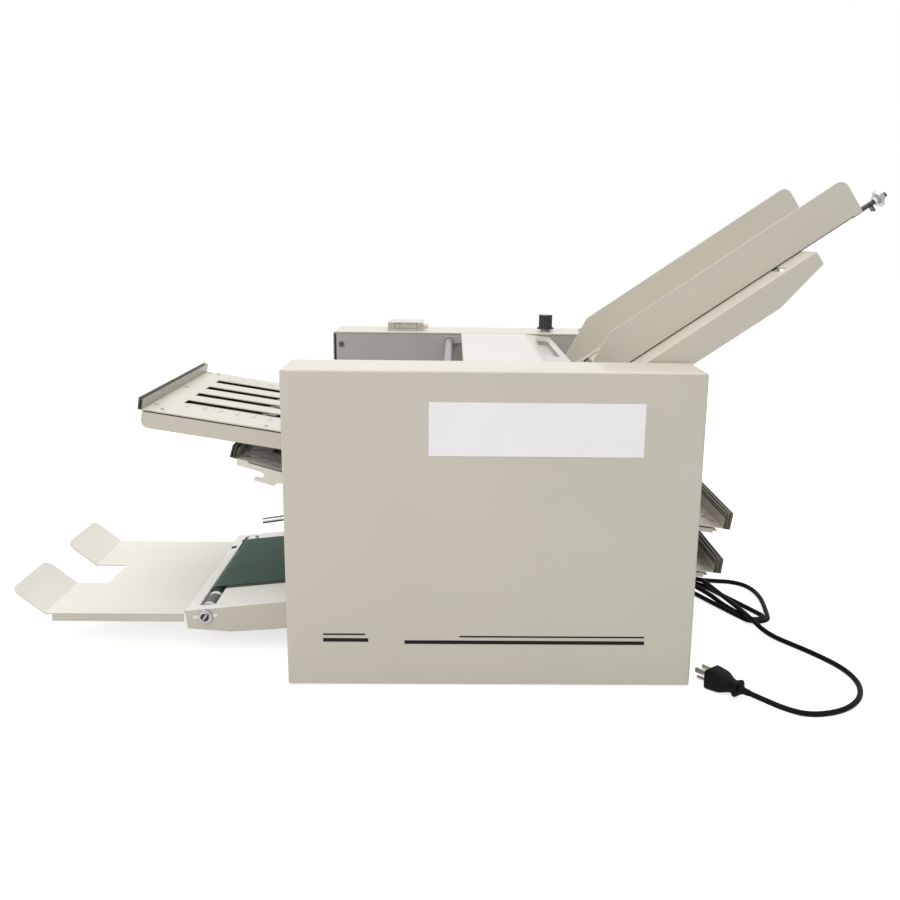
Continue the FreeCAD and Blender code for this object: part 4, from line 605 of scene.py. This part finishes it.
node_finishes = [
    (clear_window(), ["counter_window"]),
    (frame_paint, ["near_side_frame", "far_side_frame", "infeed_guide"]),
    (base_zinc, ["base_plate"]),
    (label_film, ["label_plate"]),
    (screen_ink, ["printed_bars"]),
    (roller_steel, ["fold_roller_%d" % n for n in range(1, 7)] + ["press_arm", "idler_shaft"]),
    (stop_metal, ["stop_1", "stop_2", "stop_3", "stop_4", "frame_screws"]),
    (bar_chrome, ["adjust_nut"]),
    (rod_steel, ["tie_rods"]),
    (screw_steel, ["motor_pinion"]),
    (bearing_bronze, ["bearings"]),
    (spun_aluminium, ["frame_spacers", "idler_roller", "drive_roller"]),
    (black_rubber, ["rubber_feet", "separator_pad", "timing_belts", "cord_gland"]),
    (tyre_rubber, ["feed_roller"]),
    (belt_rubber, ["conveyor_belt"]),
    (black_plastic, ["press_wheels", "speed_knob", "adjust_rod"]),
    (switch_plastic, ["switch_bezel", "rocker"]),
    (counter_plastic, ["counter_case"]),
    (wheel_plastic, ["counter_wheels"]),
    (board_lacquer, ["electrics"]),
    (motor_enamel, ["drive_motor"]),
]
for material, names in node_finishes:
    paint_node(material, names)
print("nodes finished", sum(len(names) for material, names in node_finishes))

# %% [markdown]
# A folded sheet never has a knife edge: its rim is rounded by a few tenths of a millimetre,
# and that thin round catches the light as a bright line. The solids have sharp rims. Each
# sheet piece is therefore made again from its solid: the triangles of a flat face are merged,
# and a bevel rounds every edge that stays.

# %% Sheet pieces with rounded rims
flat_angle = math.radians(1.0)
rim_angle = math.radians(40.0)
same_place = 0.00002
rim_segments = 2


def rimmed(name, material, width, slot):
    source = nodes[name]
    edit = bmesh.new()
    edit.from_mesh(source.data)
    bmesh.ops.remove_doubles(edit, verts=edit.verts, dist=same_place)
    bmesh.ops.dissolve_limit(edit, angle_limit=flat_angle, verts=edit.verts,
                             edges=edit.edges)
    edit.verts.index_update()
    places = [v.co.copy() for v in edit.verts]
    loops = [[v.index for v in f.verts] for f in edit.faces]
    edit.free()
    mesh = bpy.data.meshes.new(name + "_sheet")
    mesh.from_pydata(places, [], loops)
    mesh.materials.append(material)
    mesh.shade_smooth()
    mesh.set_sharp_from_angle(angle=rim_angle)
    piece = bpy.data.objects.new(name + "_sheet", mesh)
    bpy.context.scene.collection.objects.link(piece)
    bevel = piece.modifiers.new("rims", "BEVEL")
    bevel.width = width * millimetre
    bevel.segments = rim_segments
    bevel.limit_method = "ANGLE"
    bevel.angle_limit = rim_angle
    bevel.use_clamp_overlap = False
    bevel.harden_normals = True
    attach(piece, source["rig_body"])
    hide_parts(name)
    return piece


sheet_table = [
    ("near_side_cover", cover_paint, 0.4, "cover_paint"),
    ("far_side_cover", cover_paint, 0.4, "cover_paint"),
    ("feed_table", cover_paint, 0.35, "cover_paint"),
    ("near_paper_guide", cover_paint, 0.35, "cover_paint"),
    ("far_paper_guide", cover_paint, 0.35, "cover_paint"),
    ("fold_plate_1", cover_paint, 0.35, "cover_paint"),
    ("fold_plate_2", cover_paint, 0.35, "cover_paint"),
    ("fold_plate_4", cover_paint, 0.35, "cover_paint"),
    ("lower_sheets", cover_paint, 0.35, "cover_paint"),
    ("receiving_tray", cream_paint, 0.35, "sheet_paint"),
    ("conveyor_frame", cream_paint, 0.35, "sheet_paint"),
    ("hood", hood_paint, 0.4, "hood_paint"),
    ("fold_plate_3", cream_paint, 0.3, "sheet_paint"),
    ("plate_end_bars", end_bar_metal, 0.25, "bar_aluminium"),
]
sheets = {row[0]: rimmed(*row) for row in sheet_table}
print("sheet pieces", len(sheets))

# %% [markdown]
# The rest is small: screws, rings, print and dark strips of painted shade in the gaps. They are
# drawn in the slope that they belong to, with u along it, y across the machine and w square to
# it, all in millimetres. One matrix carries such a drawing to its place. Plates two and four
# rise the other way, so their u is turned round.

# %% Slopes and small pieces
machine_place = Matrix.Translation(at(0.0, 0.0, 0.0)) @ Matrix.Scale(millimetre, 4)


def sloped(x, z, angle):
    """The place of a drawing that starts at x and z and rises by an angle in degrees."""
    return (Matrix.Translation(at(x, 0.0, z)) @ Matrix.Rotation(math.radians(-angle), 4, "Y")
            @ Matrix.Scale(millimetre, 4))


plate_3_angle = -16.2
table_place = sloped(337.0, 312.2, 34.43)
conveyor_place = sloped(-139.5, 50.2, 6.0)
plate_places = {1: (sloped(-174.5, 302.0, -8.8), 1), 2: (sloped(511.0, 163.3, -8.1), -1),
                3: (sloped(-67.5, 243.9, plate_3_angle), 1), 4: (sloped(503.0, 107.6, -6.1), -1)}
box_faces = ((0, 1, 3, 2), (4, 6, 7, 5), (0, 4, 5, 1), (2, 3, 7, 6), (0, 2, 6, 4), (1, 5, 7, 3))
smooth_angle = math.radians(35.0)
steps_round = 40


def piece_from(name, edit, place, material, body):
    """Turn a drawing into a piece at its place, on a body and with a slot."""
    bmesh.ops.recalc_face_normals(edit, faces=edit.faces)
    mesh = bpy.data.meshes.new(name)
    edit.to_mesh(mesh)
    edit.free()
    mesh.transform(place)
    mesh.materials.append(material)
    mesh.shade_smooth()
    mesh.set_sharp_from_angle(angle=smooth_angle)
    piece = bpy.data.objects.new(name, mesh)
    bpy.context.scene.collection.objects.link(piece)
    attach(piece, body)
    return piece


def blocks(name, boxes, place, material, body, slot):
    """Thin bars and blocks, each from its low and its high corner."""
    edit = bmesh.new()
    for low, high in boxes:
        corners = [edit.verts.new((x, y, z)) for x in (low[0], high[0])
                   for y in (low[1], high[1]) for z in (low[2], high[2])]
        for loop in box_faces:
            edit.faces.new([corners[n] for n in loop])
    return piece_from(name, edit, place, material, body)


def turned(name, profiles, place, material, body):
    """Round pieces: each is a middle, an axis and (along, radius) pairs turned about it."""
    edit = bmesh.new()
    for middle, axis, profile in profiles:
        frame_of_axis = Vector(axis).to_track_quat("Z", "Y").to_matrix()
        rings = []
        for along, radius in profile:
            ring = []
            for n in range(steps_round if radius else 1):
                angle = 2 * math.pi * n / steps_round
                local = Vector((radius * math.cos(angle), radius * math.sin(angle), along))
                ring.append(edit.verts.new(Vector(middle) + frame_of_axis @ local))
            rings.append(ring)
        for first, second in zip(rings, rings[1:]):
            for n in range(steps_round):
                m = (n + 1) % steps_round
                loop = [first[n % len(first)], first[m % len(first)], second[m % len(second)],
                        second[n % len(second)]]
                edit.faces.new(list(dict.fromkeys(loop)))
        for ring in (rings[0], rings[-1]):
            if len(ring) > 1:
                edit.faces.new(ring)
    return piece_from(name, edit, place, material, body)


print("slopes", 2 + len(plate_places))

# %% [markdown]
# Print is a ribbon along a line. A digit is a line through a few corners in a box 0.6 wide and
# 1 high, cut into short pieces so that it can follow a round wheel as well as a flat sheet.

# %% Printed lines and digits
digit_lines = {
    "0": [(0.1, 0.2), (0.2, 0.0), (0.4, 0.0), (0.5, 0.2), (0.5, 0.8), (0.4, 1.0), (0.2, 1.0),
          (0.1, 0.8), (0.1, 0.2)],
    "1": [(0.15, 0.8), (0.3, 1.0), (0.3, 0.0)],
    "2": [(0.1, 0.8), (0.3, 1.0), (0.5, 0.8), (0.5, 0.6), (0.1, 0.0), (0.52, 0.0)],
    "3": [(0.1, 0.95), (0.35, 1.0), (0.5, 0.8), (0.3, 0.55), (0.5, 0.25), (0.35, 0.0), (0.1, 0.05)],
    "4": [(0.42, 0.0), (0.42, 1.0), (0.08, 0.3), (0.56, 0.3)],
    "5": [(0.5, 1.0), (0.14, 1.0), (0.12, 0.58), (0.35, 0.6), (0.5, 0.35), (0.35, 0.0),
          (0.1, 0.05)],
    "6": [(0.45, 0.97), (0.2, 0.75), (0.1, 0.3), (0.3, 0.0), (0.5, 0.25), (0.35, 0.5),
          (0.12, 0.35)],
    "7": [(0.1, 1.0), (0.5, 1.0), (0.25, 0.0)],
    "8": [(0.3, 0.52), (0.12, 0.78), (0.3, 1.0), (0.48, 0.78), (0.3, 0.52), (0.1, 0.25), (0.3, 0.0),
          (0.5, 0.25), (0.3, 0.52)],
    "9": [(0.48, 0.65), (0.3, 0.48), (0.12, 0.72), (0.3, 1.0), (0.5, 0.75), (0.42, 0.3),
          (0.2, 0.02)],
}
ribbon_step = 0.7
shortest_step = 1e-6
digit_advance = 0.7
print_height = 0.04
tick_pitch = 5
ticks_per_number = 4
first_number = 50
short_tick, long_tick, tick_width = 4.5, 7.5, 0.55
number_size, number_line = 5.2, 0.7
number_gap = 10.5
far_ruler = (345.0, 362.0)
ruler_runs = {1: (40, 320, 148.5), 2: (10, 240, 128.0), 4: (10, 235, 128.0)}
edge_marks = (("148", 101.0), ("210", 132.0))
mark_margin, mark_size, mark_line = 5.0, 5.5, 0.8


def ribbon(edit, corners, width, surface):
    """A flat line of one width through some corners, laid on a surface."""
    points = [Vector(corners[0])]
    for a, b in zip(corners, corners[1:]):
        a, b = Vector(a), Vector(b)
        count = max(1, math.ceil((b - a).length / ribbon_step))
        points += [a.lerp(b, (n + 1) / count) for n in range(count)]
    pairs = []
    for n, point in enumerate(points):
        ahead = points[min(n + 1, len(points) - 1)] - points[max(n - 1, 0)]
        if ahead.length < shortest_step:
            ahead = Vector((0.0, 1.0))
        side = Vector((-ahead.y, ahead.x)).normalized() * width / 2
        pairs.append([edit.verts.new(surface(*(point + side))),
                      edit.verts.new(surface(*(point - side)))])
    for (a, b), (c, d) in zip(pairs, pairs[1:]):
        edit.faces.new((a, b, d, c))


def write_digits(edit, text, h, v, height, width, surface):
    """A number whose lower left corner is at h and v on a surface."""
    for place, digit in enumerate(text):
        corners = [(h + (x + place * digit_advance) * height, v + z * height)
                   for x, z in digit_lines[digit]]
        ribbon(edit, corners, width, surface)


def ruler(edit, sign, u_start, u_end, tick_y, number_y):
    """Ticks every 5 mm, longer ones every 10 mm, and numbers every 20 mm, read from outside."""
    def surface(h, v):
        return (sign * h, v, print_height)

    def turned_surface(h, v):
        return (sign * v, -h, print_height)

    for n in range(int((u_end - u_start) / tick_pitch) + 1):
        u = u_start + tick_pitch * n
        reach = short_tick if n % 2 else long_tick
        ribbon(edit, [(u, tick_y), (u, tick_y - reach)], tick_width, surface)
        if n % ticks_per_number == 0:
            write_digits(edit, str(n * tick_pitch + first_number), -number_y,
                         u - number_size / 2, number_size, number_line, turned_surface)


def edge_digits(edit, sign):
    """Two paper sizes along the outer edge, read from the right of the machine."""
    def on_edge(h, v):
        return (sign * v, h, print_height)

    for text, y in edge_marks:
        write_digits(edit, text, y, mark_margin, mark_size, mark_line, on_edge)


for number, (start, end, tick_y) in ruler_runs.items():
    edit = bmesh.new()
    place, sign = plate_places[number]
    ruler(edit, sign, start, end, tick_y, tick_y - number_gap)
    if number == 1:
        ruler(edit, sign, start, end, *far_ruler)
    else:
        edge_digits(edit, sign)
    piece_from("plate_%d_ruler" % number, edit, place,
               scale_ink if number == 1 else digit_ink, "machine")
print("rulers", len(ruler_runs))

# %% [markdown]
# The counter shows one digit of each of its five wheels. Three more are printed round every
# wheel's rim and come into view as it turns. The print follows the wheel's round.

# %% Counter digits
wheel_middle_y = 410.8
wheel_middle_z = 369.5
wheel_print_radius = 4.03
first_digit_x = 99.5
digit_pitch = 6.2
digit_margin = 1.2
digit_size, digit_line = 5.2, 0.85
wheel_texts = ("00300", "52741", "86905", "17268")

edit = bmesh.new()
for quarter, text in enumerate(wheel_texts):
    def on_wheels(h, v, turn=quarter * math.pi / 2):
        angle = v / wheel_print_radius + turn
        return (h, wheel_middle_y - wheel_print_radius * math.cos(angle),
                wheel_middle_z + wheel_print_radius * math.sin(angle))

    for n, digit in enumerate(text):
        write_digits(edit, digit, first_digit_x + digit_pitch * n + digit_margin,
                     -digit_size / 2, digit_size, digit_line, on_wheels)
piece_from("counter_digits", edit, machine_place, digit_ink, "counter_wheels")
print("digits", sum(len(text) for text in wheel_texts))

# %% [markdown]
# Shade falls into every gap where two sheets meet: under each plate's top sheet, under
# the near guide, and at the far frame's edge. Thin dark strips paint this shade in, as they do
# in a hole and an opening of the conveyor's bed and along the belt's near edge, where the
# belt casts its shadow. A pale strip paints light on the bright end of the conveyor, a pale
# margin on the third plate is its own paint, and dark stripes stand for ribs.

# %% Painted shade in gaps, painted light, margins and stripes
# Near-black for painted shade in gaps, seams, holes, openings and screw dimples, and for the black
# faces of the tension screws.
gap_painted_shade_black = finish("gap_painted_shade_black", (0.012, 0.011, 0.010), 0.7, shade=0.2, shade_size=0.01)
# Painted shade in the seam under each plate's top sheet.
seam_boxes = {1: (2.0, 331.0), 2: (11.5, 286.0), 3: (62.0, 226.0), 4: (11.5, 278.0)}
seam_side = (83.85, 84.02)
seam_levels = (-3.0, -1.6)
for number, (u0, u1) in seam_boxes.items():
    place, sign = plate_places[number]
    ends = sorted((sign * u0, sign * u1))
    blocks("plate_%d_seam" % number,
           [((ends[0], seam_side[0], seam_levels[0]), (ends[1], seam_side[1], seam_levels[1]))],
           place, gap_painted_shade_black, "machine", "rubber")
strip_table = [
    # Painted shade under the near guide's foot and at the far frame's edge.
    ("guide_gap_shade", [((22.0, 132.05, 0.3), (383.0, 132.25, 1.3))],
     table_place, gap_painted_shade_black, "near_guide", "rubber"),
    ("far_frame_gap_shade", [((11.7, 388.6, 8.0), (14.6, 389.02, 359.0))],
     machine_place, gap_painted_shade_black, "machine", "rubber"),
    # Painted shade: the inside of the bed's tongue hole.
    ("bed_tongue_hole", [((3.2, 324.0, -0.05), (10.4, 335.0, 0.05))],
     conveyor_place, gap_painted_shade_black, "machine", "rubber"),
    # Painted shadow: a dark strip along the belt's near edge, where the belt casts its shadow on
    # the bed, and a dark line of painted shade under the bed's front edge.
    ("belt_edge_shadow", [((34.0, 158.2, 0.0), (262.0, 161.9, 0.1)),
                  ((-1.1, 92.0, -1.6), (-0.1, 386.0, -1.3))],
     conveyor_place, gap_painted_shade_black, "machine", "rubber"),
    # Painted shade: the far opening round the idler roller's end.
    ("roller_well", [((13.0, 352.0, 0.0), (18.4, 364.0, 0.06)),
                     ((29.6, 352.0, 0.0), (37.0, 364.0, 0.06))],
     conveyor_place, gap_painted_shade_black, "machine", "rubber"),
    # Painted light: pale strips on the conveyor's end, where it is brightly lit.
    ("conveyor_end_strip", [((0.4, 92.0, 0.0), (12.8, 320.0, 0.12)),
                            ((0.4, 338.0, 0.0), (12.8, 386.0, 0.12))],
     conveyor_place, pale_cream_painted_light, "machine", "sheet_paint"),
    ("plate_3_margin", [((12.0, 84.2, 0.0), (226.0, 96.0, 0.08))],
     plate_places[3][0], cover_paint, "machine", "cover_paint"),
    # Painted shade in the seam under the third plate's top sheet.
    ("plate_3_edge", [((14.0, seam_side[0], -1.3), (226.0, seam_side[1], -0.1))],
     plate_places[3][0], gap_painted_shade_black, "machine", "rubber"),
]
for row in strip_table:
    blocks(*row)
stripe_levels = {2: ((12.0, 14.2), (15.2, 17.4)), 4: ((9.8, 11.8), (12.8, 14.8))}
for number, levels in stripe_levels.items():
    blocks("plate_%d_bar_stripes" % number,
           [((-0.09, 84.2, low), (0.01, 385.8, high)) for low, high in levels],
           plate_places[number][0], end_bar_metal, "machine", "bar_aluminium")
print("strips", len(seam_boxes) + len(strip_table) + len(stripe_levels))

# %% [markdown]
# Screws hold the plates' end bars and corners. Each is a low dome with a dark dimple in its
# middle, a small black cap of painted shade for the hollow. A profile of heights and radii is
# turned about the screw's axis to make it.

# %% Small screws
dome = [(0.0, 2.7), (0.4, 2.6), (0.9, 2.0), (1.2, 1.2), (1.3, 0.0)]
dimple = [(1.12, 0.0), (1.34, 0.8), (1.36, 0.0)]
plate_2_spots = [(14.0, 122.0), (14.0, 250.0), (14.0, 362.0)]
screw_spots = {1: [(8.0, 117.0), (8.0, 246.0), (8.0, 371.0), (20.0, 96.5), (20.0, 374.0),
                   (142.0, 96.5), (142.0, 374.0)],
               2: plate_2_spots, 3: [(10.0, 105.0), (10.0, 365.0)], 4: plate_2_spots}
for number, spots in screw_spots.items():
    place, sign = plate_places[number]
    for kind, profile, material, slot in (("screws", dome, screw_steel, "steel"),
                                          ("dimples", dimple, gap_painted_shade_black, "rubber")):
        turned("plate_%d_%s" % (number, kind),
               [((sign * u, y, 0.0), (0, 0, 1), profile) for u, y in spots],
               place, material, "machine")
print("screws", sum(len(spots) for spots in screw_spots.values()))

# %% [markdown]
# The conveyor's idler roller has turned collars beside the belt, and its shaft is held by a
# slotted screw on a bright washer on each side. The speed knob carries a grey cap with a
# white pointer line, and stands on a steel ring.

# %% Rings, washers and caps
roller_u, roller_w = 24.0, -9.2
ring_rim = 0.15
ring_depth = 0.3
bright_bands = [(107.2, 113.0, 10.08), (141.5, 146.5, 10.5)]
worn_bands = [(113.6, 121.0, 10.3), (122.0, 129.0, 10.3), (130.0, 140.5, 10.3)]
# Painted shadow: black bands on the roller beside the belt's edges, where the belt shades it.
belt_shadow_bands = [(146.5, 161.5, 10.06), (357.5, 361.0, 10.06)]


def band_profiles(bands):
    """A ring round the roller from one y to another, with both rims rounded off."""
    return [((roller_u, low, roller_w), (0, 1, 0),
             [(0.0, radius - ring_depth), (ring_rim, radius), (high - low - ring_rim, radius),
              (high - low, radius - ring_depth)]) for low, high, radius in bands]


for name, bands, material, slot in (("roller_rings", bright_bands, spun_aluminium, "bright"),
                                    ("roller_collars", worn_bands, stop_metal, "steel"),
                                    ("roller_belt_shadow", belt_shadow_bands, gap_painted_shade_black, "rubber")):
    turned(name, band_profiles(bands), conveyor_place, material, "idler_roller")

washer = [(0.0, 8.6), (0.5, 8.7), (1.0, 8.4), (1.05, 5.0)]
screw_face = [(0.0, 5.1), (0.25, 5.0), (0.35, 4.7), (0.36, 0.0)]
washer_drop = 3.6
slot_half_length, slot_half_width = 4.6, 1.3
slot_reach = (0.3, 0.5)
slot_turn = math.radians(-50.0)
slot_place = (conveyor_place @ Matrix.Translation((roller_u, 0.0, roller_w))
              @ Matrix.Rotation(slot_turn, 4, "Y"))
for side, y, away in (("near", 85.4, -1), ("far", 393.1, 1)):
    turned(side + "_tension_washer", [((roller_u, y - away * washer_drop, roller_w),
                                       (0, away, 0), washer)],
           conveyor_place, bar_chrome, "machine")
    turned(side + "_tension_face", [((roller_u, y, roller_w), (0, away, 0), screw_face)],
           conveyor_place, gap_painted_shade_black, "machine")
    slot_low, slot_high = sorted(y + away * reach for reach in slot_reach)
    blocks(side + "_tension_slot", [((-slot_half_length, slot_low, -slot_half_width),
                                     (slot_half_length, slot_high, slot_half_width))],
           slot_place, screw_steel, "machine", "steel")
# Painted light: the tension sliders take the pale cream, so that they read bright in their shaded
# slots.
slider_half_length, slider_half_width, slider_depth = 14.8, 2.0, 0.3
slider_u = 23.0
for side, y in (("near", 90.8), ("far", 387.4)):
    blocks(side + "_tension_slider",
           [((slider_u - slider_half_length, y, roller_w - slider_half_width),
             (slider_u + slider_half_length, y + slider_depth, roller_w + slider_half_width))],
           conveyor_place, pale_cream_painted_light, "machine", "sheet_paint")

knob_top = (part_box("speed_knob")[1] - cover_corner).z / millimetre
knob_x, knob_y = 323.0, 424.0
cover_top = 362.0
pointer_half_width = 0.5
pointer_run = (-8.4, -1.0)
pointer_levels = (0.3, 0.5)
cap_sunk = 0.2
cap = [(0.0, 8.7), (0.4, 8.6), (0.6, 8.2), (0.62, 0.0)]
nut_ring = [(0.0, 7.3), (2.7, 7.3), (2.9, 7.1), (2.9, 3.2)]
cap_grey = finish("cap_grey", (0.36, 0.36, 0.36), 0.35, shade=0.1, shade_size=0.004)
pointer_white = finish("pointer_white", (0.75, 0.75, 0.73), 0.4, shade=0.05, shade_size=0.003)
turned("knob_cap", [((knob_x, knob_y, knob_top - cap_sunk), (0, 0, 1), cap)],
       machine_place, cap_grey, "speed_knob")
turned("knob_nut_ring", [((knob_x, knob_y, cover_top), (0, 0, 1), nut_ring)],
       machine_place, screw_steel, "machine")
pointer_low = (knob_x - pointer_half_width, knob_y + pointer_run[0], knob_top + pointer_levels[0])
pointer_high = (knob_x + pointer_half_width, knob_y + pointer_run[1], knob_top + pointer_levels[1])
blocks("knob_pointer", [(pointer_low, pointer_high)], machine_place, pointer_white,
       "speed_knob", "label_white")

# %% [markdown]
# Some sheets carry two finishes. The upper face of the third plate is bare mottled metal,
# while its rails are painted; a light base and strong mottles on it are painted sheen, for the
# light and reflection streaks on a top that lies in shade. The end bars are ribbed and dark,
# but the side that faces the machine is plain and paler; on plates two and four it takes the
# lighter cover paint as painted light. The tray and the conveyor are brighter on top than at
# their sides: their tops take lighter creams as painted light. The hood's recess and sloping
# faces take darker paints as painted shade, and its lugs take the frame's dark paint, as painted
# shade too. A face is chosen by the way that it points, or by its place.

# %% Faces with a second finish
flat_up = 0.98
squarely = 0.9
bar_facing = 0.6
shaded_slope_facing = (0.08, 0.9)


def second_finish(name, material, chosen):
    piece = sheets[name]
    piece.data.materials.append(material)
    faces = [face for face in piece.data.polygons if chosen(face)]
    for face in faces:
        face.material_index = len(piece.data.materials) - 1
    print(piece.name, material.name, len(faces), "faces")


up_of_plate = Vector((-math.sin(math.radians(plate_3_angle)), 0.0,
                      math.cos(math.radians(plate_3_angle))))
recess_low = at(297.0, 0.0, 340.0)
recess_high = at(320.0, 0.0, 356.8)
lug_end = at(195.4, 0.0, 0.0).x
# The third plate's up-facing faces get the painted sheen.
second_finish("fold_plate_3", mottled_metal_painted_sheen,
              lambda face: face.normal.dot(up_of_plate) > squarely)
second_finish("plate_end_bars", bar_face_metal,
              lambda face: face.center.x < 0.0 and face.normal.x > bar_facing)
# Painted light: on plates two and four the side facing the machine lies in shade, and the lighter
# cover paint lifts it.
second_finish("plate_end_bars", cover_paint,
              lambda face: face.center.x > 0.0 and face.normal.x < -bar_facing)
# Painted shade: the faces of the hood's recess are darker.
second_finish("hood", recess_painted_shade,
              lambda face: recess_low.x < face.center.x < recess_high.x
              and recess_low.z < face.center.z < recess_high.z)
# Painted shade: the hood's lugs take the frame's dark paint, for the shade they lie in.
second_finish("hood", frame_paint, lambda face: face.center.x < lug_end)
# Painted light: the tops of the conveyor and the tray take lighter creams than their sides.
for name, top_finish in (("conveyor_frame", pale_cream_painted_light), ("receiving_tray", tray_top_painted_light)):
    second_finish(name, cover_paint, lambda face: abs(face.normal.y) > squarely)
    second_finish(name, top_finish, lambda face: face.normal.z > flat_up)
# Painted shade: the hood's faces that slope down to the right are darker.
second_finish("hood", slope_painted_shade,
              lambda face: shaded_slope_facing[0] < face.normal.x < shaded_slope_facing[1]
              and face.normal.z > 0.0)
print("sheets with more than one finish",
      sum(len(piece.data.materials) > 1 for piece in sheets.values()))

# %% [markdown]
# The inside of the first plate lies in deep shade, which shows through its slots. Thin dark
# strips on its lower sheet stand for it.

# %% Shade inside the first plate
slot_rows = (163.0, 216.0, 269.0, 323.0)
shade_levels = (-4.68, -4.62)
shade_runs = ((20.0, 318.0, 12.5, 29.5), (16.0, 29.0, -11.0, 12.5))
shade_boxes = []
for y in slot_rows:
    for u_low, u_high, y_low, y_high in shade_runs:
        shade_boxes.append(((u_low, y + y_low, shade_levels[0]),
                            (u_high, y + y_high, shade_levels[1])))
blocks("plate_1_shade", shade_boxes, plate_places[1][0], gap_painted_shade_black, "machine", "rubber")
print("shaded strips", len(shade_boxes))

# %% [markdown]

# %% Finish
print("scene ready")
